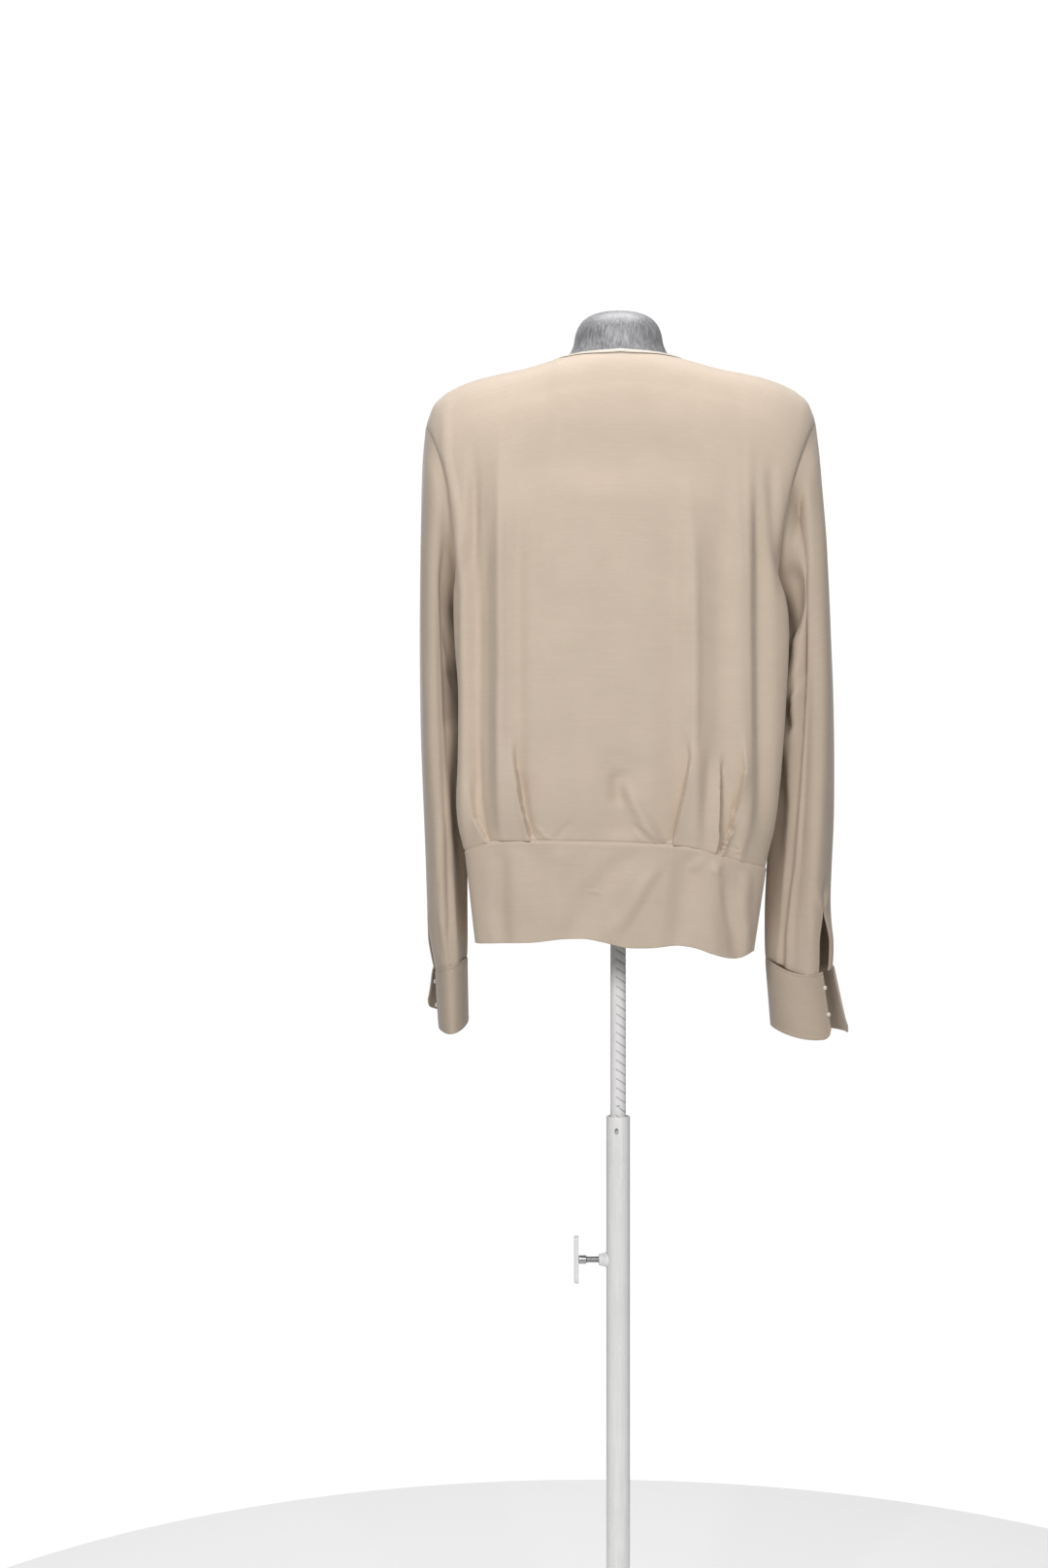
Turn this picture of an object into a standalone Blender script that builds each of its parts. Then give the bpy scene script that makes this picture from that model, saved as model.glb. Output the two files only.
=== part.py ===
"""A long-sleeved blouse worn by a limbless dress form on a height-adjustable pole stand.

The blouse is cut in two body panels, two sleeves, two cuffs and a two-piece waistband, with a
bound neckline. Each is a thin wall. The form is smooth and fills the shoulders, so the cloth
hangs from it. The form swivels on a mast that slides in the stand's lower tube, where a T-bar
screw clamps it.

Metres, +Z up. The origin is on the floor under the pole's axis. The wearer faces -Y, so the
back of the blouse faces +Y, and the wearer's left is +X.
"""

import math

import bmesh
import bpy
import numpy as np
from mathutils import Vector

MM = 0.001

# Cloth
CLOTH = 1.3 * MM
BAND_CLOTH = 2.0 * MM
SEAM_GAP = 0.3 * MM
FORM_GAP = 2.8 * MM
REST_GAP = 0.5 * MM

# Where the cloth rests on the form's shoulders: distance out, reach along and across the seam
SHOULDER_REST = (130 * MM, 30 * MM, 26 * MM)

# Neckline and shoulders
NECK_HALF = 66 * MM
NECK_POINT_Y = 8 * MM
NECK_POINT_Z = 1432 * MM
NECK_ROOT_Z = 1446 * MM
NECK_DEPTH = {"back": 54 * MM, "front": 88 * MM}
SHOULDER_HOLD = 3.0
NECK_HOLD = 4.5

# The shoulder seam's height over the armhole's top, by how far out along it a point is
SHOULDER_LINE = [
    # share out, height over the tip (mm)
    (0.33, 63.0),
    (0.48, 54.5),
    (0.62, 50.0),
    (0.74, 45.0),
    (0.84, 38.0),
    (0.91, 30.0),
    (0.96, 20.0),
    (1.00, 0.0),
]

# Armholes by their four points, on the wearer's left and right
ARMHOLE = {
    "left": {
        "outer": (198.0, -3.0, 1367.0),
        "back": (169.5, 75.0, 1284.0),
        "inner": (157.0, 0.0, 1185.0),
        "front": (166.0, -68.0, 1268.0),
    },
    "right": {
        "outer": (-203.0, -3.0, 1371.0),
        "back": (-167.5, 75.0, 1285.0),
        "inner": (-160.0, 0.0, 1185.0),
        "front": (-168.0, -68.0, 1268.0),
    },
}

# Body rows from the shoulder seam (0) to the underarm (6) and the waist seam (12)
UNDERARM_ROW = 6
PLEAT_TOP_ROW = 9
FLAT_ROW = 10
WAIST_ROW = 12
ARMHOLE_ANGLES = [0, 24, 48, 78, 112, 146, 180]

CENTRE = {
    "back": [
        # y, z, squareness, left corner, right corner (mm, where it has one)
        (8.0, 1446.0, 2.0, 0.0, 0.0),
        (60.0, 1437.0, 2.1, 0.0, 0.0),
        (85.0, 1397.0, 2.2, 0.0, 0.0),
        (98.0, 1350.0, 2.4, 0.0, 0.0),
        (107.0, 1300.0, 2.6, 8.0, 1.0),
        (111.0, 1250.0, 2.8, 19.0, 6.0),
        (112.0, 1200.0, 3.0, 22.0, 21.0),
        (112.0, 1150.0, 3.1, 26.0, 26.0),
        (112.0, 1095.0, 3.2, 23.0, 26.0),
        (112.0, 1040.0, 3.2, 24.0, 24.0),
        (111.0, 1000.0, 3.2, 25.0, 22.0),
        (109.0, 968.0, 3.2, 23.0, 19.0),
        (105.0, 942.0, 3.2, 18.0, 12.0),
    ],
    "front": [
        (8.0, 1446.0, 2.0, 0.0, 0.0),
        (-48.0, 1408.0, 2.1, 0.0, 0.0),
        (-84.0, 1352.0, 2.2, 0.0, 0.0),
        (-110.0, 1300.0, 2.3, 0.0, 0.0),
        (-124.0, 1255.0, 2.4, 0.0, 0.0),
        (-131.0, 1215.0, 2.5, 0.0, 0.0),
        (-131.0, 1180.0, 2.6, 3.0, 3.0),
        (-128.0, 1138.0, 2.7, 10.0, 10.0),
        (-124.0, 1090.0, 2.8, 13.0, 13.0),
        (-121.0, 1040.0, 2.9, 15.0, 15.0),
        (-119.0, 1000.0, 2.9, 15.0, 15.0),
        (-116.0, 968.0, 2.9, 14.0, 14.0),
        (-110.0, 938.0, 2.9, 10.0, 10.0),
    ],
}

SIDE_SEAM = {
    "left": [
        # x, y, z from the underarm to the waist seam (mm)
        (157.0, 0.0, 1185.0),
        (152.0, 0.0, 1142.0),
        (149.5, 0.0, 1092.0),
        (148.5, 0.0, 1040.0),
        (148.5, 0.0, 1000.0),
        (148.5, 0.0, 966.0),
        (147.5, 0.0, 932.0),
    ],
    "right": [
        (-160.0, 0.0, 1185.0),
        (-154.0, 0.0, 1142.0),
        (-151.0, 0.0, 1092.0),
        (-149.5, 0.0, 1040.0),
        (-148.0, 0.0, 1000.0),
        (-145.5, 0.0, 962.0),
        (-142.5, 0.0, 918.0),
    ],
}

# Height of the waist seam and the hem round the body, by x (mm)
WAIST_SEAM = {
    "back": [
        (-147, 915), (-120, 922), (-100, 928), (-84, 933), (-68, 937), (-50, 939.5),
        (0, 942), (60, 943), (118, 943.5), (132, 942.5), (147, 936), (160, 932),
    ],
    "front": [(-147, 916), (-110, 930), (-60, 937), (0, 938), (60, 938), (110, 937), (150, 933)],
}
HEM = {
    "back": [
        (-131, 833), (-122, 826), (-105, 827), (-88, 832), (-74, 838), (-55, 841), (-30, 838),
        (-5, 838), (15, 843), (35, 847.5), (60, 847), (88, 843), (118, 842), (147, 840.5),
    ],
    "front": [(-131, 834), (-90, 843), (-40, 846), (20, 842), (70, 846), (147, 841)],
}

# Pleats at the waist seam. side is +1 where the outer layer lies on the wearer's left of the
# crease. x along the crease is given at the seam, part of the way up and at its top.
PLEATS = {
    "back": [
        # x at the seam, 30 mm up, 90 mm up, side, height, depth beside it, reach up (mm)
        (133.0, 141.0, 149.0, 1, 3.2, 2.0, 85),
        (89.5, 95.5, 104.0, 1, 4.2, 3.0, 110),
        (-50.0, -57.0, -68.0, -1, 4.4, 3.2, 120),
        (-92.0, -93.5, -95.5, 1, 4.0, 3.4, 110),
        (-97.5, -110.0, -120.0, -1, 4.2, 2.4, 140),
        (-117.0, -112.0, -110.0, -1, 1.6, 1.4, 22),
    ],
    "front": [
        (118.0, 124.0, 132.0, 1, 3.4, 2.4, 90),
        (78.0, 84.0, 92.0, 1, 4.0, 3.0, 110),
        (-76.0, -83.0, -91.0, -1, 4.0, 3.0, 105),
        (-112.0, -119.0, -127.0, -1, 3.4, 2.4, 95),
    ],
}
PLEAT_STEP = 3.0 * MM
PLEAT_SPREAD = 13 * MM

# Long soft folds that hang from the shoulder blades. Height under 0 is a trough.
FOLDS = {
    "back": [
        # x at the foot, x at the head, foot z, head z, half-width, height (mm)
        (117.0, 118.5, 950, 1330, 10.0, 5.0),
        (140.0, 141.0, 975, 1310, 10.0, -5.5),
        (88.0, 89.0, 985, 1300, 9.0, 2.0),
        (103.0, 104.0, 990, 1300, 7.0, -2.2),
        (-68.0, -68.0, 965, 1290, 9.0, 2.6),
        (-48.0, -45.0, 960, 1330, 11.0, -1.8),
        (-96.0, -95.0, 990, 1280, 9.0, -2.4),
        (-121.0, -119.0, 960, 1310, 9.0, 4.2),
        (-138.0, -136.0, 985, 1290, 9.0, -4.2),
        (2.0, 2.0, 950, 1030, 16.0, -2.4),
        (-25.0, -8.0, 943, 995, 9.0, 2.2),
    ],
    "front": [
        (104.0, 96.0, 955, 1180, 11.0, 4.0),
        (122.0, 116.0, 960, 1170, 9.0, -3.0),
        (62.0, 56.0, 960, 1150, 11.0, 2.5),
        (80.0, 74.0, 970, 1160, 8.0, -2.5),
        (-60.0, -52.0, 958, 1160, 11.0, 3.0),
        (-80.0, -74.0, 970, 1150, 8.0, -2.6),
        (-103.0, -97.0, 955, 1185, 11.0, 4.2),
        (-121.0, -117.0, 960, 1170, 9.0, -3.0),
        (0.0, 4.0, 950, 1060, 20.0, -2.0),
    ],
}

# Rows and columns of the walls
BODY_ROWS = {
    "back": [0, 0.5, 1, 1.5, 2.1, 2.8, 3.7, 4.8, 6, 7, 8, 8.8, 9.5, 10.1, 10.6, 11.0, 11.35, 11.7, 12],
    "front": [0, 0.5, 1, 1.5, 2.1, 2.8, 3.7, 4.8, 6, 7, 8, 9, 9.8, 10.5, 11.1, 11.6, 12],
}
COLUMN_STEP = {"back": 14 * MM, "front": 17 * MM}
NECK_SHARE = 0.6

# Sleeves, ring by ring from the armhole to the cuff seam
SLEEVES = {
    "left": [
        # outer x, outer z, inner x, inner z, back y, front y, side x, side z (mm)
        (201.2, 1336, 162.0, 1178, 76.5, -69, 178.0, 1268),
        (202.6, 1302, 167.5, 1169, 76.0, -69, 182.0, 1246),
        (203.4, 1256, 168.4, 1155, 73.0, -68, 184.5, 1214),
        (204.0, 1205, 165.4, 1135, 69.0, -67, 184.5, 1176),
        (204.2, 1150, 163.0, 1106, 65.0, -65, 184.0, 1132),
        (203.8, 1096, 160.5, 1072, 61.0, -63, 183.0, 1086),
        (203.0, 1046, 158.8, 1034, 58.0, -61, 181.5, 1041),
        (201.4, 1000, 157.2, 996, 56.0, -60, 180.0, 998),
        (199.8, 960, 156.0, 958, 55.0, -58, 178.5, 959),
        (198.2, 920, 155.4, 920, 54.0, -56, 177.5, 920),
        (196.8, 878, 155.2, 878, 53.0, -53, 176.5, 878),
        (194.4, 845, 155.0, 845, 50.0, -49, 174.5, 845),
        (190.6, 822, 155.2, 829, 46.0, -45, 172.5, 825),
        (188.2, 811.5, 155.6, 822, 44.5, -43.5, 171.5, 816),
    ],
    "right": [
        (-205.8, 1340, -165.5, 1178, 76.5, -69, -180.0, 1270),
        (-208.6, 1306, -169.5, 1169, 76.0, -69, -185.0, 1248),
        (-212.8, 1256, -170.0, 1155, 74.0, -68, -188.0, 1214),
        (-216.0, 1205, -166.0, 1135, 71.0, -67, -188.0, 1176),
        (-218.4, 1150, -163.5, 1106, 68.0, -65, -189.0, 1132),
        (-220.6, 1096, -161.0, 1072, 65.0, -63, -189.5, 1086),
        (-221.6, 1046, -159.0, 1034, 61.0, -61, -189.5, 1041),
        (-221.8, 1000, -157.0, 996, 58.0, -59, -189.0, 998),
        (-221.4, 960, -155.2, 958, 55.0, -56, -188.0, 959),
        (-219.6, 920, -153.6, 920, 51.0, -52, -187.0, 920),
        (-218.4, 880, -151.6, 880, 46.0, -47, -186.0, 880),
        (-220.0, 848, -151.2, 848, 41.0, -41, -186.0, 848),
        (-220.6, 826, -151.4, 829, 37.5, -36, -186.0, 820),
        (-219.6, 814, -152.0, 820.5, 36.0, -34, -186.0, 806.5),
    ],
}
WIDEST_COLUMN = 17.0
ARMHOLE_GAP = 1.0 * MM
SLEEVE_ROWS = [0, 0.6, 1.2, 2, 3, 4, 5, 6, 7, 8, 9, 10, 11, 11.8, 12.6, 13.3, 14]
SLIT_ROW = 11
SLIT_ANGLE = {"left": 16.0, "right": 52.0}
SLIT_WIDTH = {"left": 7 * MM, "right": 14 * MM}

# Long folds of the sleeves, at angles round them: 0 is outer, 90 back, 180 inner, 270 front
SLEEVE_FOLDS = {
    "left": [
        # angle at the head, at the foot, head z, foot z, half-width (degrees), height (mm)
        (112, 104, 1300, 860, 22, -5.0),
        (62, 66, 1330, 1000, 24, 3.0),
        (250, 262, 1250, 850, 24, -5.0),
        (296, 300, 1300, 1040, 22, 3.0),
        (140, 134, 1120, 1060, 18, -3.0),
        (84, 74, 960, 850, 16, 3.0),
    ],
    "right": [
        (86, 112, 1345, 818, 20, -11.0),
        (60, 74, 1320, 880, 22, 4.0),
        (126, 136, 1215, 1150, 15, -5.0),
        (128, 138, 1120, 1040, 18, 4.0),
        (140, 136, 1085, 1055, 13, -5.0),
        (246, 258, 1280, 860, 24, -6.0),
        (300, 292, 1280, 980, 22, 3.0),
    ],
}

# Cuffs by the four points of their lower edge; the upper edge follows the sleeve
CUFF_FOOT = {
    "left": {
        "outer": (183.5, 0.0, 752.0),
        "back": (169.5, 45.0, 747.5),
        "inner": (154.5, 0.0, 757.0),
        "front": (169.5, -44.0, 756.0),
    },
    "right": {
        "outer": (-227.0, 0.0, 746.0),
        "back": (-193.0, 36.0, 740.5),
        "inner": (-157.5, 0.0, 752.0),
        "front": (-192.0, -34.0, 748.0),
    },
}
CUFF_COLUMNS = 22
CUFF_ROWS = [0, 0.2, 0.5, 0.8, 1]
CUFF_LAP = {"left": 338.0, "right": 331.0}
CUFF_FLARE = {"left": 13 * MM, "right": 10 * MM}
CUFF_BUTTON_SHARES = (0.24, 0.68)
BUTTON_RADIUS = 2.3 * MM
BUTTON_THICKNESS = 2.0 * MM
BUTTON_GAP = 0.5 * MM
BUTTON_INSET = 1.0 * MM
CUFF_LAP_LIFT = {"left": 16 * MM, "right": 0.0}
CUFF_PROUD = 0.5 * MM
CUFF_DROP = 0.7 * MM

# Waistband: how much narrower its hem is than the waist seam
BAND_TAPER = {"left": 0.935, "right": 0.92, "depth": 0.91}
BAND_ROWS = [0, 0.12, 0.45, 0.8, 1]
BAND_PROUD = 0.8 * MM
BAND_DROP = 0.8 * MM
BAND_FOLDS = {
    "back": [
        # x, share down, half-width, height (mm)
        (60, 0.5, 22, -2.5),
        (-20, 0.5, 18, 2.0),
        (-75, 0.5, 20, -2.5),
        (-118, 0.5, 12, 2.0),
        (115, 0.5, 14, 1.5),
    ],
    "front": [(70, 0.5, 24, -2.0), (-10, 0.5, 22, 1.5), (-90, 0.5, 20, -2.0)],
}

# Neckline binding: how far its rows lie from the cloth's edge (mm), under 0 over the edge
BINDING_CLOTH = 1.0 * MM
CLOTH_TO_BINDING = 0.8 * MM
BINDING_REACHES = (-0.9, 1.6, 4.0)

# The form below the shoulders: how much slimmer than the cloth it is, by height (mm)
FORM_SLIMMING = [
    (945, 0.88), (1000, 0.84), (1060, 0.78), (1110, 0.80), (1160, 0.87),
    (1210, 0.93), (1260, 0.955), (1310, 0.975), (1355, 1.0), (1500, 1.0),
]
FORM_ROWS = [0, 0.5, 1, 1.5, 2.1, 2.8, 3.7, 4.8, 6, 7.5, 9, 10, 11]
FORM_COLUMNS = 28
FORM_NECK_SHARE = 0.62
FORM_BOTTOM = 955 * MM
FORM_FOOT_SHARE = 0.3
NECK_TOP = 1485.0 * MM
NECK_RADIUS = (46.5 * MM, 47 * MM)
NECK_CENTRE_Y = 4 * MM
NECK_RINGS = [
    # z, share of the neck's radius
    (1450.0, 1.0),
    (1458.0, 0.985),
    (1466.0, 0.94),
    (1473.5, 0.85),
    (1479.5, 0.70),
    (1483.0, 0.49),
    (1484.6, 0.24),
]
ARM_CAP = [
    # share of the armhole's loop, how far out it domes (mm)
    (0.8, 2.5),
    (0.5, 5.0),
    (0.22, 6.0),
    (0.0, 6.2),
]

# The stand
SOCKET_RADIUS = 16 * MM
SOCKET_FLANGE = 40 * MM
SOCKET_BOTTOM = 915 * MM
MAST_RADIUS = 8 * MM
MAST_BOTTOM = 358 * MM
MAST_TOP = 949.7 * MM
TUBE_RADIUS = 12.2 * MM
TUBE_BORE = 10.9 * MM
TUBE_TOP = 658 * MM
TUBE_BOTTOM = 7.3 * MM
STOP_HOLE_Z = 643.5 * MM
MAST_HOLE_Z = 668.5 * MM
CLAMP_Z = 510 * MM
SCREW_RADIUS = 3.3 * MM
BOSS_RADIUS = 6.5 * MM
BOSS_END = 20 * MM
HUB_RADIUS = 4.5 * MM
HUB_START = 32.7 * MM
HUB_END = 40.5 * MM
BAR_SIZE = (4.5 * MM, 11 * MM, 49 * MM)
CLAMP_GAP = 0.3 * MM
BASE_RADIUS = 168 * MM
BASE_THICKNESS = 7 * MM
BASE_COLLAR = (22 * MM, 36 * MM)


def remove_all():
    for obj in list(bpy.data.objects):
        bpy.data.objects.remove(obj, do_unlink=True)


def make_collection(name):
    collection = bpy.data.collections.new(name)
    bpy.context.scene.collection.children.link(collection)
    return collection


def make_material(name, colour, roughness, metallic=0.0):
    material = bpy.data.materials.new(name)
    material.use_nodes = True
    shader = material.node_tree.nodes["Principled BSDF"]
    shader.inputs["Base Color"].default_value = (*colour, 1.0)
    shader.inputs["Roughness"].default_value = roughness
    shader.inputs["Metallic"].default_value = metallic
    return material


def add_mesh(name, bm, material, collection):
    """Make an object of a bmesh, shaded smooth but for its sharp edges."""
    bmesh.ops.recalc_face_normals(bm, faces=bm.faces)
    mesh = bpy.data.meshes.new(name)
    bm.to_mesh(mesh)
    bm.free()
    mesh.shade_smooth()
    mesh.set_sharp_from_angle(angle=math.radians(40))
    obj = bpy.data.objects.new(name, mesh)
    obj.data.materials.append(material)
    collection.objects.link(obj)
    return obj


# Curves through short tables


def smooth_row(table, place):
    """The row of a table at a fractional place, on a smooth curve through the rows."""
    rows = np.asarray(table, dtype=float)
    low = int(min(max(math.floor(place), 0), len(rows) - 2))
    share = place - low
    before = rows[max(low - 1, 0)]
    start = rows[low]
    end = rows[low + 1]
    after = rows[min(low + 2, len(rows) - 1)]
    slope_start = (end - before) / 2
    slope_end = (after - start) / 2
    square = share * share
    cube = square * share
    return (
        (2 * cube - 3 * square + 1) * start
        + (cube - 2 * square + share) * slope_start
        + (3 * square - 2 * cube) * end
        + (cube - square) * slope_end
    )


def along(table, value):
    """The second column of a table in mm, read by its first and joined smoothly."""
    keys = [row[0] for row in table]
    heights = [row[1] for row in table]
    wide = 6.0
    reads = [np.interp(value / MM + offset, keys, heights) for offset in (-wide, 0.0, wide)]
    return (reads[0] + 2 * reads[1] + reads[2]) / 4 * MM


def smooth_step(value):
    value = np.clip(value, 0.0, 1.0)
    return value * value * (3 - 2 * value)


def ring_point(points, degrees):
    """A point of a rounded loop through its outer, back, inner and front points."""
    outer, back, inner, front = (np.array(points[k]) * MM for k in ("outer", "back", "inner", "front"))
    angle = math.radians(degrees)
    middle = (outer + back + inner + front) / 4
    across = (outer - inner) / 2
    through = (back - front) / 2
    lift = (outer + inner - back - front) / 4
    return middle + across * math.cos(angle) + through * math.sin(angle) + lift * math.cos(2 * angle)


# Body panels


def row_angle(row):
    """How far round the armhole a body row meets it."""
    return smooth_row([[angle] for angle in ARMHOLE_ANGLES], row)[0]


def edge_point(side, face, row):
    """The panel's edge: the armhole down to the underarm, then the side seam."""
    if row <= UNDERARM_ROW:
        angle = row_angle(row)
        return ring_point(ARMHOLE[side], angle if face == "back" else 360 - angle)
    return smooth_row(SIDE_SEAM[side], row - UNDERARM_ROW) * MM


def body_point(face, row, share):
    """A point of the body's surface before its folds, from the right edge (-1) to the left (1)."""
    side, sign = ("left", 1) if share >= 0 else ("right", -1)
    centre_y, centre_z, square, corner_left, corner_right = smooth_row(CENTRE[face], row)
    corner = corner_left if sign > 0 else corner_right
    edge = edge_point(side, face, row)
    out = abs(share)
    bow = max(1 - out**square, 0) ** (1 / square)
    bulge = out**6 * (1 - out**12) / 0.385
    fall = 1.2 + smooth_step(row / 4)
    x = edge[0] * out + sign * corner * MM * bulge
    y = edge[1] + (centre_y * MM - edge[1]) * bow
    z = edge[2] + (centre_z * MM - edge[2]) * (1 - out**fall)
    if row < SHOULDER_HOLD:
        held = 1 - smooth_step(row / SHOULDER_HOLD)
        z += (shoulder_z(side, out) - shoulder_section_z(face, side, out)) * held
    if row > FLAT_ROW:
        flat_z = CENTRE[face][FLAT_ROW][1] * MM
        down = (row - FLAT_ROW) / (WAIST_ROW - FLAT_ROW)
        z = flat_z + (along(WAIST_SEAM[face], x) - flat_z) * down
    return np.array([x, y, z])


def shoulder_z(side, out):
    """Height of the shoulder seam, carried on past the neck point to the neck's middle."""
    tip_x, _, tip_z = np.array(ARMHOLE[side]["outer"]) * MM
    neck_out = NECK_HALF / abs(tip_x)
    if out < neck_out:
        return NECK_POINT_Z + (NECK_ROOT_Z - NECK_POINT_Z) * (1 - out / neck_out)
    rise = np.interp(out, [r[0] for r in SHOULDER_LINE], [r[1] for r in SHOULDER_LINE])
    return tip_z + rise * (NECK_POINT_Z - tip_z) / SHOULDER_LINE[0][1]


def shoulder_section_z(face, side, out):
    tip_z = ARMHOLE[side]["outer"][2] * MM
    return tip_z + (CENTRE[face][0][1] * MM - tip_z) * (1 - out**1.2)


def section_points(face, row, shares):
    return np.array([body_point(face, row, share) for share in shares])


def shares_at(face, row, targets):
    """The shares at which a row passes given x values."""
    dense = np.sin(np.linspace(-math.pi / 2, math.pi / 2, 241))
    xs = section_points(face, row, dense)[:, 0]
    widest = slice(int(np.argmin(xs)), int(np.argmax(xs)) + 1)
    return np.interp(targets, xs[widest], dense[widest])


def neckline_row(face, top_x):
    """How far down the surface the neckline cuts a column, found by halving."""
    if abs(top_x) >= NECK_HALF - MM / 100:
        return 0.0
    tip_x = ARMHOLE["left" if top_x >= 0 else "right"]["outer"][0] * MM
    share = top_x / abs(tip_x)
    reach = NECK_DEPTH[face] * math.sqrt(1 - (top_x / NECK_HALF) ** 2)
    low, high = 0.0, 3.0
    for _ in range(30):
        middle = (low + high) / 2
        if abs(body_point(face, middle, share)[1] - NECK_POINT_Y) < reach:
            low = middle
        else:
            high = middle
    return (low + high) / 2


def pleat_x(pleat, height):
    """Where a pleat's crease is at a height over the waist seam."""
    return np.interp(height / MM, (0, 30, 90), pleat[:3]) * MM


def pleat_columns(face, height):
    """The x of the columns that follow the pleats, with a side to side order."""
    columns = []
    for pleat in PLEATS[face]:
        crease = pleat_x(pleat, height)
        side = pleat[3]
        if pleat[6] < 60:
            continue
        offsets = (9 * MM, 4 * MM, 0.0, -PLEAT_STEP, -8 * MM)
        columns.append(sorted(crease + side * offset for offset in offsets))
    return columns


def spread_columns(face):
    """Column shares for every kind of row: at the shoulder, above the pleats and at the waist."""
    levels = {}
    for name, row, height in (("top", PLEAT_TOP_ROW, 90 * MM), ("waist", WAIST_ROW, 0.0)):
        groups = sorted(pleat_columns(face, height), key=lambda g: g[2])
        merged = [groups[0]]
        for group in groups[1:]:
            gap = group[0] - merged[-1][-1]
            if gap < 3 * MM:
                middle = (group[0] + merged[-1][-1]) / 2
                merged[-1] = [min(x, middle - 1.2 * MM) for x in merged[-1]]
                group = [max(x, middle + 1.2 * MM) for x in group]
            merged.append(group)
        anchors = [x for group in merged for x in group]
        for i in range(1, len(anchors)):
            anchors[i] = max(anchors[i], anchors[i - 1] + 1.6 * MM)
        shares = shares_at(face, row, anchors)
        levels[name] = np.degrees(np.arcsin(np.clip([-1, *shares, 1], -1, 1)))
    step = math.degrees(COLUMN_STEP[face] / (150 * MM))
    columns = {name: [angles[0]] for name, angles in levels.items()}
    for i in range(1, len(levels["top"])):
        spans = [levels[name][i] - levels[name][i - 1] for name in levels]
        count = max(1, round(sum(spans) / len(spans) / step))
        for k in range(1, count + 1):
            for name, angles in levels.items():
                columns[name].append(angles[i - 1] + (angles[i] - angles[i - 1]) * k / count)
    return {name: np.sin(np.radians(values)) for name, values in columns.items()}


def shoulder_columns(shares, neck_share=NECK_SHARE):
    """The x of each column along the top edge, with one at each neck point."""
    reach = {s: abs(ARMHOLE[s]["outer"][0]) * MM for s in ("left", "right")}
    right = int(np.argmin(np.abs(shares + neck_share)))
    left = int(np.argmin(np.abs(shares - neck_share)))
    xs = np.zeros(len(shares))
    last = len(shares) - 1
    for j in range(len(shares)):
        if j < right:
            xs[j] = -reach["right"] + (reach["right"] - NECK_HALF) * (j / right) ** 1.05
        elif j <= left:
            xs[j] = NECK_HALF * math.sin(math.pi * ((j - right) / (left - right) - 0.5))
        else:
            xs[j] = reach["left"] - (reach["left"] - NECK_HALF) * ((last - j) / (last - left)) ** 1.05
    return xs, right, left


def row_shares(row, columns, top_xs):
    """Column shares of one row."""
    tips = np.where(top_xs >= 0, ARMHOLE["left"]["outer"][0], -ARMHOLE["right"]["outer"][0]) * MM
    if row <= PLEAT_TOP_ROW:
        blend = smooth_step(row / UNDERARM_ROW)
        return (1 - blend) * top_xs / tips + blend * columns["top"]
    down = (row - PLEAT_TOP_ROW) / (WAIST_ROW - PLEAT_TOP_ROW)
    return (1 - down) * columns["top"] + down * columns["waist"]


def smooth_body(face, rows, columns, neck_share=NECK_SHARE):
    """The panel's outer surface before folds, row by row."""
    top_xs, _, _ = shoulder_columns(columns["top"], neck_share)
    cuts = [neckline_row(face, x) for x in top_xs]
    grid = []
    for row in rows:
        shares = row_shares(row, columns, top_xs)
        held = 1 - smooth_step(row / NECK_HOLD)
        grid.append([body_point(face, row + cut * held, share) for cut, share in zip(cuts, shares)])
    return np.array(grid)


def grid_normals(grid, closed, outward):
    """Unit normals of a grid of points, flipped to point along outward where they don't."""
    down = np.gradient(grid, axis=0)
    if closed:
        across = np.roll(grid, -1, axis=1) - np.roll(grid, 1, axis=1)
    else:
        across = np.gradient(grid, axis=1)
    normals = np.cross(across, down)
    normals /= np.linalg.norm(normals, axis=2, keepdims=True)
    turn = np.sign(np.sum(np.sum(normals * outward, axis=2)))
    return normals * turn


def fold_profile(distance, half_width):
    """A soft ridge: 1 on its line, 0 from twice its half-width."""
    return np.cos(np.clip(distance / half_width, -2, 2) * math.pi / 4) ** 2


def body_relief(face, points):
    """How far each point moves out for the pleats and the hanging folds."""
    xs = points[..., 0]
    zs = points[..., 2]
    seam = along(WAIST_SEAM[face], xs)
    height = np.clip(zs - seam, 0, None)
    relief = np.zeros(xs.shape)
    for foot_x, head_x, foot_z, head_z, half_width, lift in FOLDS[face]:
        share = (zs / MM - foot_z) / (head_z - foot_z)
        line = (foot_x + (head_x - foot_x) * share) * MM
        fade = smooth_step((share + 0.12) / 0.22) * smooth_step((1.12 - share) / 0.4)
        relief += lift * MM * fade * fold_profile(xs - line, half_width * MM)
    for pleat in PLEATS[face]:
        side, lift, trough, reach = pleat[3:]
        from_crease = (xs - pleat_x(pleat, height)) * side
        up = height / (reach * MM)
        fade = (0.35 + 0.65 * smooth_step(up / 0.25)) * (1 - smooth_step((up - 0.3) / 0.7))
        ridge = lift * np.exp(-np.clip(from_crease, 0, None) / PLEAT_SPREAD * 1.3)
        valley = -trough * np.exp(-np.clip(-from_crease - PLEAT_STEP, 0, None) / PLEAT_SPREAD * 1.8)
        step = smooth_step((from_crease + PLEAT_STEP) / PLEAT_STEP)
        relief += (valley + (ridge - valley) * step) * MM * fade
    return relief


def body_panel(face, rows, columns):
    """The panel's outer surface with its folds."""
    grid = smooth_body(face, rows, columns)
    outward = np.array([0, 1 if face == "back" else -1, 0])
    normals = grid_normals(grid, False, outward)
    relief = body_relief(face, grid)
    share = np.linspace(-1, 1, grid.shape[1])
    quiet_sides = smooth_step((1 - np.abs(share)) / 0.06)
    return grid + normals * (relief * quiet_sides)[..., None]


# Walls


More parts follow.
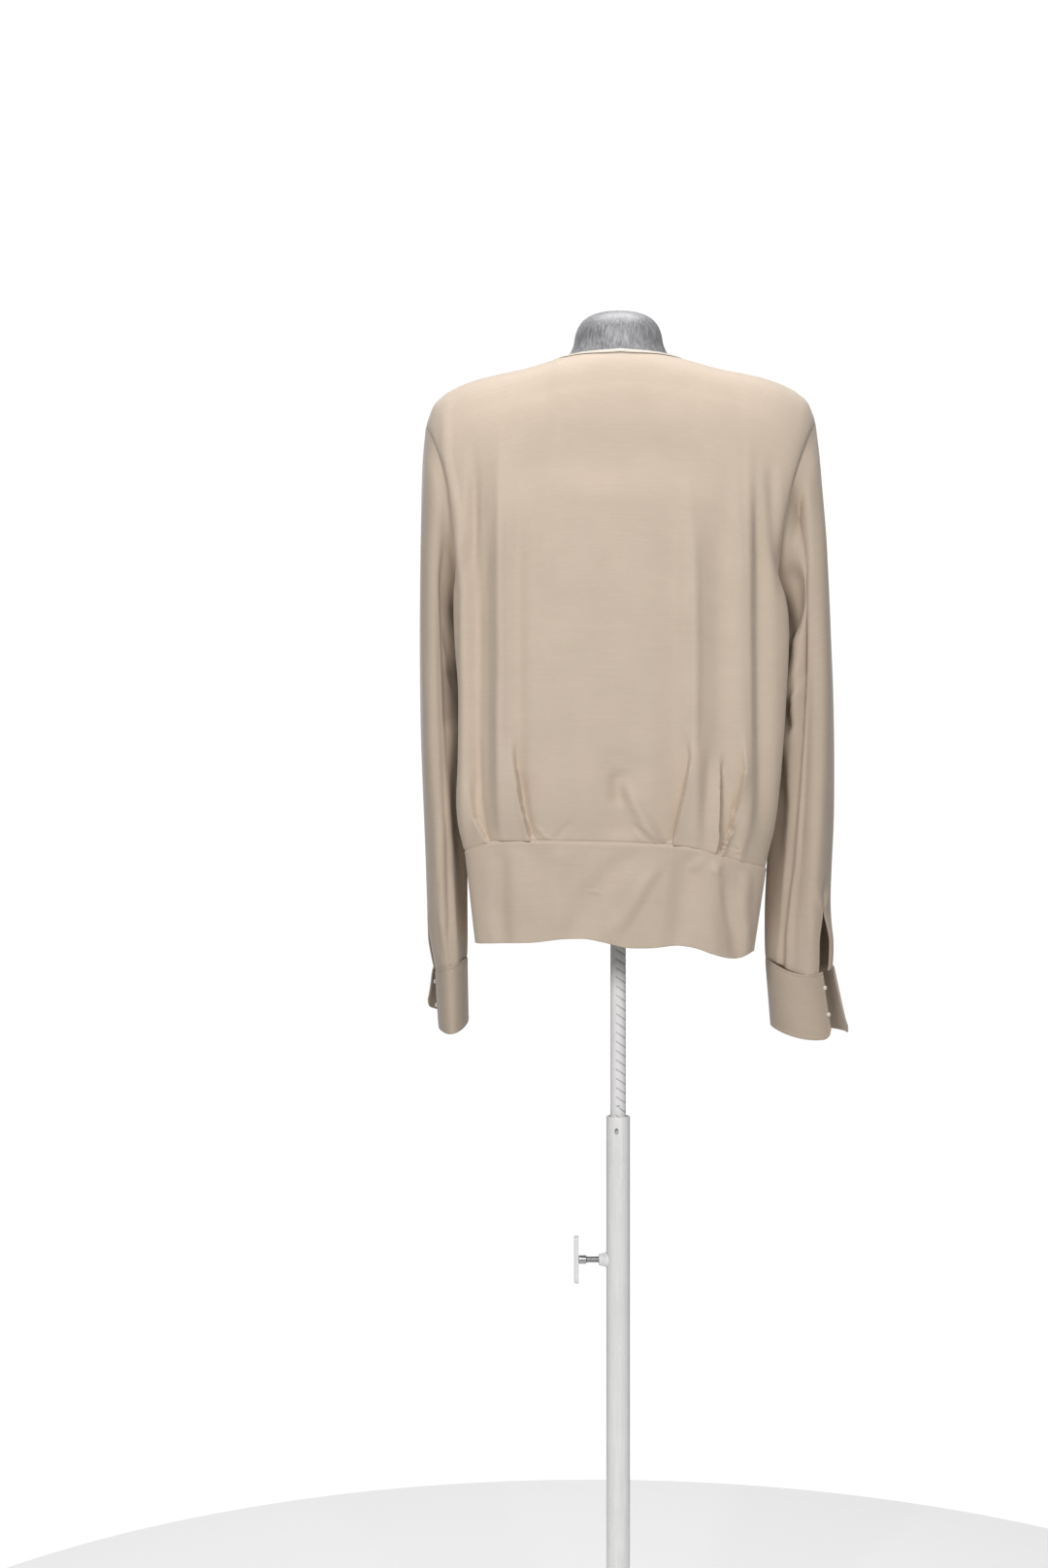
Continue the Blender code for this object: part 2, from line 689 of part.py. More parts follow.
def wall_mesh(outer, inner, closed=False, open_from=None):
    """A closed wall between two grids of the same size.

    A closed grid wraps round. With open_from its last column lies on its first down to that
    row, and below it the two part as the edges of a slit.
    """
    bm = bmesh.new()
    rows, columns = outer.shape[:2]
    slit = open_from is not None

    def layer(grid):
        verts = []
        for i in range(rows):
            line = []
            for j in range(columns):
                if slit and j == columns - 1 and i <= open_from:
                    line.append(line[0])
                else:
                    line.append(bm.verts.new(grid[i, j]))
            verts.append(line)
        return verts

    out = layer(outer)
    inn = layer(inner)
    steps = columns if closed else columns - 1
    for i in range(rows - 1):
        for j in range(steps):
            k = (j + 1) % columns
            face = [out[i][j], out[i][k], out[i + 1][k], out[i + 1][j]]
            back = [inn[i + 1][j], inn[i + 1][k], inn[i][k], inn[i][j]]
            bm.faces.new(face)
            bm.faces.new(back)
    for j in range(steps):
        k = (j + 1) % columns
        bm.faces.new([out[0][k], out[0][j], inn[0][j], inn[0][k]])
        bm.faces.new([out[-1][j], out[-1][k], inn[-1][k], inn[-1][j]])
    if not closed:
        first_open = open_from if slit else 0
        for i in range(first_open, rows - 1):
            bm.faces.new([out[i][0], out[i + 1][0], inn[i + 1][0], inn[i][0]])
            end = [out[i + 1][-1], out[i][-1], inn[i][-1], inn[i + 1][-1]]
            bm.faces.new(end)
    return bm


def add_wall(name, grid, normals, thickness, material, collection, closed=False, open_from=None):
    """A wall whose outer face is the grid."""
    bm = wall_mesh(grid, grid - normals * thickness, closed, open_from)
    return add_mesh(name, bm, material, collection)


def level_normals(normals, axis):
    """Normals with one direction taken out, for edges that meet another piece's edge."""
    level = normals.copy()
    level[..., axis] = 0
    return level / np.linalg.norm(level, axis=-1, keepdims=True)


def under_arm(degrees):
    """1 at the armhole's lowest point, falling to 0 over the shoulder."""
    return ((1 - np.cos(np.radians(degrees))) / 2) ** 3


def armhole_normal(side, degrees):
    """Which way the walls face at the armhole seam, the same for the panel and the sleeve."""
    loop = ARMHOLE[side]
    point = ring_point(loop, degrees)
    middle = (np.array(loop["outer"]) + loop["back"] + loop["inner"] + loop["front"]) / 4 * MM
    under = under_arm(degrees)
    sign = 1 if side == "left" else -1
    away = point - middle + np.array([sign * (25 + 75 * under) * MM, 0, 0])
    tangent = ring_point(loop, degrees + 1) - ring_point(loop, degrees - 1)
    tangent /= np.linalg.norm(tangent)
    away -= tangent * np.dot(away, tangent)
    return away / np.linalg.norm(away)


def body_normals(face, rows, grid, top_xs):
    """A panel's normals, made one with its neighbours' along each seam."""
    normals = grid_normals(grid, False, np.array([0, 1 if face == "back" else -1, 0]))
    shoulder = np.abs(top_xs) >= NECK_HALF - MM / 100
    normals[0, shoulder] = level_normals(normals[0, shoulder], 1)
    normals[-1] = level_normals(normals[-1], 2)
    for i, row in enumerate(rows):
        for column, side in ((0, "right"), (-1, "left")):
            if row > UNDERARM_ROW:
                normals[i, column] = level_normals(normals[i, column], 1)
                continue
            angle = row_angle(row)
            normals[i, column] = armhole_normal(side, angle if face == "back" else 360 - angle)
    normals[-1, 0] = (-1, 0, 0)
    normals[-1, -1] = (1, 0, 0)
    return normals


def add_body(face, material, collection):
    columns = spread_columns(face)
    rows = BODY_ROWS[face]
    grid = body_panel(face, rows, columns)
    top_xs, _, _ = shoulder_columns(columns["top"])
    normals = body_normals(face, rows, grid, top_xs)
    across = np.gradient(grid, axis=1)
    across /= np.linalg.norm(across, axis=2, keepdims=True)
    down = np.gradient(grid, axis=0)
    down /= np.linalg.norm(down, axis=2, keepdims=True)
    inset = SEAM_GAP / 2
    grid[:, 0] += across[:, 0] * inset
    grid[:, -1] -= across[:, -1] * inset
    seam = np.abs(top_xs) >= NECK_HALF - MM / 100
    grid[0, seam] += down[0, seam] * inset
    grid[-1, :, 2] += SEAM_GAP
    add_wall(face, grid, normals, CLOTH, material, collection)


# Waistband


def band_grid(face, columns):
    """The band from the waist seam to the hem, in the panel's own columns."""
    waist = smooth_body(face, [WAIST_ROW], columns)[0]
    hem = waist.copy()
    left = hem[:, 0] >= 0
    hem[left, 0] *= BAND_TAPER["left"]
    hem[~left, 0] *= BAND_TAPER["right"]
    hem[:, 1] *= BAND_TAPER["depth"]
    hem[:, 2] = along(HEM[face], hem[:, 0])
    grid = []
    for share in BAND_ROWS:
        row = waist + (hem - waist) * share
        for x, z_share, width, lift in BAND_FOLDS[face]:
            near = fold_profile(row[:, 0] - (x - 40 * (share - z_share)) * MM, width * MM)
            row[:, 1] += np.sign(waist[:, 1]) * near * lift * MM * math.sin(math.pi * min(share * 1.2, 1))
        grid.append(row)
    return np.array(grid)


def add_band(face, material, collection):
    fine = band_grid(face, spread_columns(face))
    last = fine.shape[1] - 1
    grid = fine[:, sorted({*range(0, last, 2), last})]
    normals = grid_normals(grid, False, np.array([0, 1 if face == "back" else -1, 0]))
    normals[:, 0] = (-1, 0, 0)
    normals[:, -1] = (1, 0, 0)
    normals = level_normals(normals, 2)
    grid += normals * BAND_PROUD
    grid[0, :, 2] -= BAND_DROP
    grid[:, 0, 1] += np.sign(grid[:, 1, 1]) * SEAM_GAP / 2
    grid[:, -1, 1] += np.sign(grid[:, -2, 1]) * SEAM_GAP / 2
    add_wall("waistband_" + face, grid, normals, BAND_CLOTH, material, collection)


# Neckline binding


def surface_normal(face, row, share):
    """Which way the body's smooth surface faces at a point."""
    step_row, step_share = 0.05, 0.01
    down = body_point(face, row + step_row, share) - body_point(face, max(row - step_row, 0), share)
    across = body_point(face, row, share + step_share) - body_point(face, row, share - step_share)
    normal = np.cross(across, down)
    normal /= np.linalg.norm(normal)
    turn = 1 if normal[2] > 0 else -1
    return normal * turn


def neckline_edge(face):
    """The neckline's points from right to left and which way the panel faces there."""
    columns = spread_columns(face)
    top_xs, right, left = shoulder_columns(columns["top"])
    shares = row_shares(0, columns, top_xs)
    points, facing = [], []
    for column in range(right, left + 1):
        row = neckline_row(face, top_xs[column])
        points.append(body_point(face, row, shares[column]))
        facing.append(surface_normal(face, row, shares[column]))
    facing = np.array(facing)
    for end in (0, -1):
        facing[end] = level_normals(facing[end], 1)
    return np.array(points), facing


def add_binding(material, collection):
    back, back_facing = neckline_edge("back")
    front, front_facing = neckline_edge("front")
    points = np.concatenate([back, front[-2:0:-1]])
    facing = np.concatenate([back_facing, front_facing[-2:0:-1]])
    tangents = np.roll(points, -1, axis=0) - np.roll(points, 1, axis=0)
    out = np.cross(facing, tangents)
    out /= np.linalg.norm(out, axis=1, keepdims=True)
    centre = np.array([0, NECK_CENTRE_Y, 0])
    flat = (points - centre) * np.array([1, 1, 0])
    out *= np.sign(np.sum(out * flat, axis=1))[:, None]
    lift = CLOTH_TO_BINDING + BINDING_CLOTH
    grid = np.array([points + out * reach * MM + facing * lift for reach in BINDING_REACHES])
    normals = np.repeat(facing[None], len(grid), axis=0)
    add_wall("neck_binding", grid, normals, BINDING_CLOTH, material, collection, closed=True)


# Sleeves and cuffs


def sleeve_stations(side):
    """The four points of each ring from the armhole to the cuff seam, twelve numbers a row."""
    loop = ARMHOLE[side]
    rows = [[*loop["outer"], *loop["back"], *loop["inner"], *loop["front"]]]
    for outer_x, outer_z, inner_x, inner_z, back_y, front_y, side_x, side_z in SLEEVES[side]:
        rows.append([outer_x, 0, outer_z, side_x, back_y, side_z,
                     inner_x, 0, inner_z, side_x, front_y, side_z])
    return rows


def ring_of(numbers):
    return {"outer": numbers[0:3], "back": numbers[3:6], "inner": numbers[6:9], "front": numbers[9:12]}


def sleeve_relief(side, angles, zs):
    relief = np.zeros(zs.shape)
    for head_angle, foot_angle, head_z, foot_z, half_width, lift in SLEEVE_FOLDS[side]:
        share = (head_z - zs / MM) / (head_z - foot_z)
        line = head_angle + (foot_angle - head_angle) * share
        fade = smooth_step((share + 0.15) / 0.35) * smooth_step((1.15 - share) / 0.3)
        apart = (angles - line + 180) % 360 - 180
        relief += lift * MM * fade * fold_profile(apart, half_width)
    return relief


def armhole_angles():
    """The angles of the panels' rows round the armhole, which the sleeve's columns share."""
    back = [row_angle(row) for row in BODY_ROWS["back"] if row <= UNDERARM_ROW]
    front = [360 - row_angle(row) for row in reversed(BODY_ROWS["front"]) if 0 < row < UNDERARM_ROW]
    return back + front


def sleeve_columns(side):
    """The sleeve's angles from the slit's line round to it again, and which lie on a panel's row."""
    seam = armhole_angles()
    angles = []
    for angle, following in zip(seam, [*seam[1:], 360.0]):
        angles.append((angle, True))
        if following - angle > WIDEST_COLUMN:
            angles.append(((angle + following) / 2, False))
    start = min(range(len(angles)), key=lambda i: abs(angles[i][0] - SLIT_ANGLE[side]))
    turned = [*angles[start:], *[(angle + 360, seam_row) for angle, seam_row in angles[: start + 1]]]
    return np.array([angle for angle, _ in turned]), [seam_row for _, seam_row in turned]


def sleeve_grid(side, rows):
    """The sleeve's outer face, from the slit's line round to it again, and its normals."""
    stations = sleeve_stations(side)
    angles, on_seam = sleeve_columns(side)
    rings = []
    for row in rows:
        ring = ring_of(smooth_row(stations, row))
        rings.append([ring_point(ring, angle) for angle in angles])
    grid = np.array(rings)
    middle = grid[:, :-1].mean(axis=1, keepdims=True)
    wrapped = grid_normals(grid[:, :-1], True, grid[:, :-1] - middle)
    normals = np.concatenate([wrapped, wrapped[:, :1]], axis=1)
    for j, angle in enumerate(angles):
        normals[0, j] = armhole_normal(side, angle)
    normals[-1] = level_normals(normals[-1], 2)
    relief = sleeve_relief(side, angles[None, :] + np.zeros((len(rows), 1)), grid[..., 2])
    relief[0] = 0
    grid += normals * relief[..., None]
    away = grid[1] - grid[0]
    gap = ARMHOLE_GAP * (1 + 1.2 * under_arm(angles))
    grid[0] += away / np.linalg.norm(away, axis=1, keepdims=True) * gap[:, None]
    for j, seam_row in enumerate(on_seam):
        if not seam_row:
            grid[0, j] = (grid[0, j - 1] + grid[0, j + 1]) / 2
            normals[0, j] = (normals[0, j - 1] + normals[0, j + 1]) / 2
    return open_slit(side, rows, grid, normals), normals


def open_slit(side, rows, grid, normals):
    """Part the columns at the slit's line, below its top."""
    foot = rows[-1]
    for i, row in enumerate(rows):
        if row <= SLIT_ROW:
            continue
        down = (row - SLIT_ROW) / (foot - SLIT_ROW)
        width = SLIT_WIDTH[side] * smooth_step(down * 2.2) * (1 - 0.2 * down)
        round_way = grid[i, 1] - grid[i, -2]
        round_way /= np.linalg.norm(round_way)
        for j, share in enumerate((1.0, 0.6, 0.25)):
            grid[i, j] += round_way * width / 2 * share
            grid[i, -1 - j] -= round_way * width / 2 * share
            grid[i, -1 - j] += normals[i, -1 - j] * width * 0.25 * share
    return grid


def add_sleeve(side, material, collection):
    grid, normals = sleeve_grid(side, SLEEVE_ROWS)
    apex = SLEEVE_ROWS.index(SLIT_ROW)
    add_wall("sleeve_" + side, grid, normals, CLOTH, material, collection, open_from=apex)


def cuff_grid(side, shares_down, column_count):
    """The open cuff from its near edge round to the end of its under-lap."""
    top = ring_of(sleeve_stations(side)[-1])
    foot = CUFF_FOOT[side]
    turns = np.arange(column_count + 1) / column_count
    grid = []
    near_edge = sleeve_columns(side)[0][0]
    for down in shares_down:
        line = []
        for turn in turns:
            angle = near_edge + CUFF_LAP[side] * turn
            high = ring_point(top, angle)
            low = ring_point(foot, angle)
            line.append(high + (low - high) * down)
        grid.append(line)
    grid = np.array(grid)
    grid[0, :, 2] -= CUFF_DROP
    middle = grid.mean(axis=1, keepdims=True)
    normals = level_normals(grid_normals(grid, False, grid - middle), 2)
    for i, down in enumerate(shares_down):
        flare = CUFF_FLARE[side] * (0.25 + 0.75 * down) * smooth_step((turns - 0.8) / 0.2) ** 1.5
        near = 1.5 * MM * down * smooth_step((0.12 - turns) / 0.12)
        grid[i] += normals[i] * (flare + near)[:, None]
        grid[i, :, 2] += CUFF_LAP_LIFT[side] * smooth_step((turns - 0.78) / 0.22) * down
    grid += normals * CUFF_PROUD
    fresh = level_normals(grid_normals(grid, False, grid - middle), 2)
    return grid, fresh


def add_cuff(side, cloth, button_material, collection):
    grid, normals = cuff_grid(side, CUFF_ROWS, CUFF_COLUMNS)
    add_wall("cuff_" + side, grid, normals, CLOTH, cloth, collection)
    fine, facing = cuff_grid(side, CUFF_BUTTON_SHARES, CUFF_COLUMNS)
    for number, (line, normal) in enumerate(zip(fine, facing), start=1):
        inward = line[1] - line[0]
        seat = line[0] + inward / np.linalg.norm(inward) * BUTTON_INSET
        add_button(f"cuff_button_{side}_{number}", seat, normal[0], button_material, collection)


def add_button(name, seat, way, material, collection):
    """A small round button at the cuff's edge."""
    bm = bmesh.new()
    bmesh.ops.create_cone(bm, cap_ends=True, segments=12, radius1=BUTTON_RADIUS,
                          radius2=BUTTON_RADIUS, depth=BUTTON_THICKNESS)
    rim = [e for e in bm.edges if all(v.co.z > 0 for v in e.verts)]
    bmesh.ops.bevel(bm, geom=rim, offset=0.6 * MM, segments=1, profile=0.5, affect="EDGES")
    obj = add_mesh(name, bm, material, collection)
    normal = Vector(way).normalized()
    obj.rotation_mode = "QUATERNION"
    obj.rotation_quaternion = normal.to_track_quat("Z", "Y")
    obj.location = Vector(seat) + normal * (BUTTON_THICKNESS / 2 + BUTTON_GAP)
    return obj


# The form


def form_panel(face):
    """The body's own surface without folds, in fewer rows and columns."""
    shares = np.sin(np.linspace(-math.pi / 2, math.pi / 2, FORM_COLUMNS + 1))
    return smooth_body(face, FORM_ROWS, {"top": shares, "waist": shares}, FORM_NECK_SHARE)


def sort_loop(edges):
    """The vertices of a loop of edges, in order."""
    links = {}
    for edge in edges:
        a, b = edge.verts
        links.setdefault(a, []).append(b)
        links.setdefault(b, []).append(a)
    start = min(links, key=lambda v: v.index)
    loop = [start]
    previous, here = None, start
    while True:
        following = [v for v in links[here] if v is not previous]
        previous, here = here, following[0]
        if here is start:
            return loop
        loop.append(here)


def bridge(bm, ring, points):
    """A new ring of vertices joined to the last one, in the same order."""
    fresh = [bm.verts.new(point) for point in points]
    count = len(ring)
    for i in range(count):
        k = (i + 1) % count
        bm.faces.new([ring[i], ring[k], fresh[k], fresh[i]])
    return fresh


def close_ring(bm, ring, point):
    tip = bm.verts.new(point)
    for i, vert in enumerate(ring):
        bm.faces.new([vert, ring[(i + 1) % len(ring)], tip])


def cap_arm(bm, ring, sign):
    """A softly domed plate over the armhole."""
    middle = sum((v.co for v in ring), Vector()) / len(ring)
    start = [v.co.copy() for v in ring]
    for share, dome in ARM_CAP:
        out = Vector((sign * dome * MM, 0, 0))
        if share == 0:
            close_ring(bm, ring, middle + out)
        else:
            ring = bridge(bm, ring, [middle + (co - middle) * share + out for co in start])


def cap_neck(bm, ring):
    """The neck's root, its round and its domed top."""
    start = [v.co.copy() for v in ring]
    first_z = NECK_RINGS[0][0] * MM
    circle = []
    for co in start:
        angle = math.atan2(co.y - NECK_CENTRE_Y, co.x)
        circle.append(Vector((NECK_RADIUS[0] * math.cos(angle),
                              NECK_CENTRE_Y + NECK_RADIUS[1] * math.sin(angle), first_z)))
    for share, sag in ((0.35, 0.28), (0.7, 0.2)):
        between = []
        for low, high in zip(start, circle):
            co = low.lerp(high, share)
            co.z -= (high.z - low.z) * sag
            between.append(co)
        ring = bridge(bm, ring, between)
    for z, share in NECK_RINGS:
        points = []
        for co in circle:
            flat = Vector((co.x * share, NECK_CENTRE_Y + (co.y - NECK_CENTRE_Y) * share, z * MM))
            points.append(flat)
        ring = bridge(bm, ring, points)
    close_ring(bm, ring, Vector((0, NECK_CENTRE_Y, NECK_TOP)))


def form_gap(point):
    """How far the form lies under the cloth: least on the shoulders, where the cloth rests."""
    out, along_seam, across_seam = SHOULDER_REST
    far = ((abs(point.x) - out) / along_seam) ** 2 + (point.y / across_seam) ** 2
    return FORM_GAP + (REST_GAP - FORM_GAP) * math.exp(-far)


def add_form(material, collection):
    bm = bmesh.new()
    for face in ("back", "front"):
        grid = form_panel(face)
        verts = [[bm.verts.new(point) for point in line] for line in grid]
        for i in range(len(verts) - 1):
            for j in range(len(verts[0]) - 1):
                bm.faces.new([verts[i][j], verts[i][j + 1], verts[i + 1][j + 1], verts[i + 1][j]])
    bmesh.ops.remove_doubles(bm, verts=bm.verts, dist=0.05 * MM)
    bmesh.ops.recalc_face_normals(bm, faces=bm.faces)
    bm.normal_update()
    heights = [row[0] * MM for row in FORM_SLIMMING]
    scales = [row[1] for row in FORM_SLIMMING]
    outward = 1 if sum(v.normal.y * v.co.y for v in bm.verts) > 0 else -1
    for vert in bm.verts:
        scale = float(np.interp(vert.co.z, heights, scales))
        moved = vert.co - vert.normal * outward * (CLOTH + form_gap(vert.co))
        vert.co = Vector((moved.x * scale, moved.y * scale, moved.z))
    bm.verts.index_update()
    border = [e for e in bm.edges if e.is_boundary]
    foot_z = min(v.co.z for e in border for v in e.verts)
    groups = {"arm_left": [], "arm_right": [], "neck": [], "foot": []}
    for edge in border:
        middle = (edge.verts[0].co + edge.verts[1].co) / 2
        if middle.z < foot_z + 30 * MM:
            groups["foot"].append(edge)
        elif abs(middle.x) < NECK_HALF:
            groups["neck"].append(edge)
        else:
            groups["arm_left" if middle.x > 0 else "arm_right"].append(edge)
    cap_arm(bm, sort_loop(groups["arm_left"]), 1)
    cap_arm(bm, sort_loop(groups["arm_right"]), -1)
    cap_neck(bm, sort_loop(groups["neck"]))
    foot = sort_loop(groups["foot"])
    for vert in foot:
        vert.co.z = FORM_BOTTOM
    inner_rim = [v.co * FORM_FOOT_SHARE for v in foot]
    for co in inner_rim:
        co.z = FORM_BOTTOM
    rim = bridge(bm, foot, inner_rim)
    close_ring(bm, rim, Vector((0, 0, FORM_BOTTOM)))
    add_mesh("form_body", bm, material, collection)


# The stand


def add_turned(name, profile, material, collection, steps):
    """A turned piece: its outline at +X from the top of the axis down, with a Screw modifier."""
    mesh = bpy.data.meshes.new(name)
    verts = [(r, 0, z) for r, z in profile]
    closed = profile[0][0] > 0
    edges = [(i, i + 1) for i in range(len(verts) - 1)]
    if closed:
        edges.append((len(verts) - 1, 0))
    mesh.from_pydata(verts, edges, [])
    obj = bpy.data.objects.new(name, mesh)
    collection.objects.link(obj)
    obj.data.materials.append(material)
    screw = obj.modifiers.new("turn", "SCREW")
    screw.steps = steps
    screw.render_steps = steps
    screw.use_merge_vertices = True
    screw.merge_threshold = 0.00001
    screw.use_smooth_shade = True
    return obj


def add_cutter(name, radius, depth, location, rotation, cutters):
    bm = bmesh.new()
    bmesh.ops.create_cone(bm, cap_ends=True, segments=32, radius1=radius, radius2=radius, depth=depth)
    mesh = bpy.data.meshes.new(name)
    bm.to_mesh(mesh)
    bm.free()
    obj = bpy.data.objects.new(name, mesh)
    cutters.objects.link(obj)
    obj.location = location
    obj.rotation_euler = rotation
    obj.hide_render = True
    obj.display_type = "WIRE"
    return obj


def cut(obj, cutter):
    boolean = obj.modifiers.new(cutter.name, "BOOLEAN")
    boolean.operation = "DIFFERENCE"
    boolean.solver = "EXACT"
    boolean.object = cutter


def add_base(material, collection):
    collar_radius, collar_top = BASE_COLLAR
    bore = TUBE_RADIUS + SEAM_GAP
    edge = 2 * MM
    floor = BASE_THICKNESS
    profile = [
        (0, floor),
        (bore, floor),
        (bore, collar_top),
        (collar_radius - edge, collar_top),
        (collar_radius, collar_top - edge),
        (collar_radius, floor + edge),
        (collar_radius + edge, floor),
        (BASE_RADIUS - edge, floor),
        (BASE_RADIUS, floor - edge),
        (BASE_RADIUS, 0),
        (0, 0),
    ]
    return add_turned("base_plate", profile, material, collection, 48)


def add_tube(material, collection, cutters):
    lip = 0.6 * MM
    profile = [
        (TUBE_BORE, TUBE_TOP),
        (TUBE_RADIUS - lip, TUBE_TOP),
        (TUBE_RADIUS, TUBE_TOP - lip),
        (TUBE_RADIUS, TUBE_BOTTOM),
        (TUBE_BORE, TUBE_BOTTOM),
    ]
    tube = add_turned("stand_tube", profile, material, collection, 40)
    sideways = (0, math.pi / 2, 0)
    cut(tube, add_cutter("clamp_hole", SCREW_RADIUS + SEAM_GAP, 10 * MM,
                         (TUBE_RADIUS, 0, CLAMP_Z), sideways, cutters))
    slot = add_cutter("stop_hole", 2.1 * MM, 10 * MM, (2 * MM, TUBE_RADIUS, STOP_HOLE_Z),
                      (math.pi / 2, 0, 0), cutters)
    slot.scale = (1, 1.5, 1)
    cut(tube, slot)
    return tube


def add_mast(material, collection, cutters):
    chamfer = 0.8 * MM
    profile = [
        (0, MAST_TOP),
        (MAST_RADIUS - chamfer, MAST_TOP),
        (MAST_RADIUS, MAST_TOP - chamfer),
        (MAST_RADIUS, MAST_BOTTOM + chamfer),
        (MAST_RADIUS - chamfer, MAST_BOTTOM),
        (0, MAST_BOTTOM),
    ]
    mast = add_turned("mast", profile, material, collection, 32)
    cut(mast, add_cutter("mast_hole", 1.4 * MM, 6 * MM, (0, MAST_RADIUS, MAST_HOLE_Z),
                         (math.pi / 2, 0, 0), cutters))
    return mast


def add_socket(material, collection):
    """The cup under the form that turns on the mast's top."""
    top = FORM_BOTTOM - SEAM_GAP
    bore = MAST_RADIUS + SEAM_GAP
    seat = MAST_TOP + SEAM_GAP
    profile = [
        (0, top),
        (SOCKET_FLANGE, top),
        (SOCKET_FLANGE, top - 3 * MM),
        (SOCKET_RADIUS, top - 4 * MM),
        (SOCKET_RADIUS, SOCKET_BOTTOM),
        (bore, SOCKET_BOTTOM),
        (bore, seat),
        (0, seat),
    ]
    return add_turned("form_socket", profile, material, collection, 24)


def add_clamp(collection, cutters, paint, steel):
    """The boss on the tube and the screw with its T-bar, on one axis along X."""
    axis = bpy.data.objects.new("clamp_axis", None)
    axis.location = (0, 0, CLAMP_Z)
    collection.objects.link(axis)
    sideways = (0, math.pi / 2, 0)

    boss_start, boss_end = 8 * MM, BOSS_END
    bm = bmesh.new()
    bmesh.ops.create_cone(bm, cap_ends=True, segments=28, radius1=BOSS_RADIUS + 1.5 * MM,
                          radius2=BOSS_RADIUS - 0.5 * MM, depth=boss_end - boss_start)
    boss = add_mesh("clamp_boss", bm, paint, collection)
    boss.location = ((boss_start + boss_end) / 2, 0, CLAMP_Z)
    boss.rotation_euler = sideways
    cut(boss, add_cutter("boss_seat", TUBE_RADIUS + CLAMP_GAP, 60 * MM,
                         (0, 0, CLAMP_Z), (0, 0, 0), cutters))
    cut(boss, add_cutter("boss_bore", SCREW_RADIUS + SEAM_GAP, 40 * MM,
                         (boss_end, 0, CLAMP_Z), sideways, cutters))

    tip = MAST_RADIUS + CLAMP_GAP
    profile = [
        (0, HUB_END),
        (HUB_RADIUS - 0.8 * MM, HUB_END),
        (HUB_RADIUS, HUB_END - 0.8 * MM),
        (HUB_RADIUS, HUB_START + 0.8 * MM),
        (HUB_RADIUS - 0.8 * MM, HUB_START),
        (SCREW_RADIUS, HUB_START),
        (SCREW_RADIUS, tip + MM),
        (SCREW_RADIUS - MM, tip),
        (0, tip),
    ]
    screw = add_turned("clamp_screw", profile, steel, collection, 24)
    screw.rotation_euler = sideways
    screw.parent = axis

    bm = bmesh.new()
    bmesh.ops.create_cube(bm, size=1)
    bmesh.ops.scale(bm, vec=BAR_SIZE, verts=bm.verts)
    long_edges = [e for e in bm.edges if abs(e.verts[0].co.x - e.verts[1].co.x) > BAR_SIZE[0] / 2]
    bmesh.ops.bevel(bm, geom=long_edges, offset=BAR_SIZE[1] * 0.45, segments=3, profile=0.5, affect="EDGES")
    rims = [e for e in bm.edges if e.calc_face_angle(0) > math.radians(60)]
    bmesh.ops.bevel(bm, geom=rims, offset=0.8 * MM, segments=1, profile=0.5, affect="EDGES")
    bar = add_mesh("clamp_bar", bm, paint, collection)
    bar.location = (HUB_END + SEAM_GAP + BAR_SIZE[0] / 2, 0, 0)
    bar.rotation_euler = (math.radians(4), 0, 0)
    bar.parent = axis


def main():
    remove_all()
    collection = make_collection("blouse_on_dress_form")
    cutters = make_collection("cutters")
    cloth = make_material("beige_crepe", (0.58, 0.48, 0.38), 0.75)
    binding = make_material("cream_binding", (0.74, 0.66, 0.56), 0.7)
    pearl = make_material("button_pearl", (0.85, 0.83, 0.80), 0.25)
    silver = make_material("form_silver", (0.45, 0.45, 0.46), 0.35, 0.3)
    paint = make_material("stand_paint", (0.78, 0.77, 0.77), 0.4)
    steel = make_material("screw_steel", (0.6, 0.6, 0.6), 0.3, 1.0)
    for face in ("back", "front"):
        add_body(face, cloth, collection)
        add_band(face, cloth, collection)
    add_binding(binding, collection)
    for side in ("left", "right"):
        add_sleeve(side, cloth, collection)
        add_cuff(side, cloth, pearl, collection)
    add_form(silver, collection)
    add_socket(steel, collection)
    add_base(paint, collection)
    add_tube(paint, collection, cutters)
    add_mast(paint, collection, cutters)
    add_clamp(collection, cutters, paint, steel)


main()
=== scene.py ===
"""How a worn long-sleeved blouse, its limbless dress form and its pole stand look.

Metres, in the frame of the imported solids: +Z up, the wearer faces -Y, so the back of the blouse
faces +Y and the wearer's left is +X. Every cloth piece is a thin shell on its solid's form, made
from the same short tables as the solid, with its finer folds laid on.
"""

import math

import bmesh
import bpy
import numpy as np
from mathutils import Euler, Matrix, Vector

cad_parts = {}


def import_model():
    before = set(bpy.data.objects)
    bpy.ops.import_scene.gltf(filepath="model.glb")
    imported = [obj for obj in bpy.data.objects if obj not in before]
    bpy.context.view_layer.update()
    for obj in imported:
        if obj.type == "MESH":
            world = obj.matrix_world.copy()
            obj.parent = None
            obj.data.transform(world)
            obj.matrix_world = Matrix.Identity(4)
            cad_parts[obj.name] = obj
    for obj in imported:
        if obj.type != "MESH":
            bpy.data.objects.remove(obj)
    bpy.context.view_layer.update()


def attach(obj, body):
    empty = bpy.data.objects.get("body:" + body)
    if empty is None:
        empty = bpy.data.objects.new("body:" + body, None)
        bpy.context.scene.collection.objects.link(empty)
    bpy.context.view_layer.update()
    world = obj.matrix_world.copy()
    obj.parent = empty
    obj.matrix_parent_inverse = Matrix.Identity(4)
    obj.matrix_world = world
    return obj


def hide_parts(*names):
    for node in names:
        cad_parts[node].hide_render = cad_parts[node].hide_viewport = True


MM = 0.001
SIDES = ("left", "right")
FACES = ("back", "front")

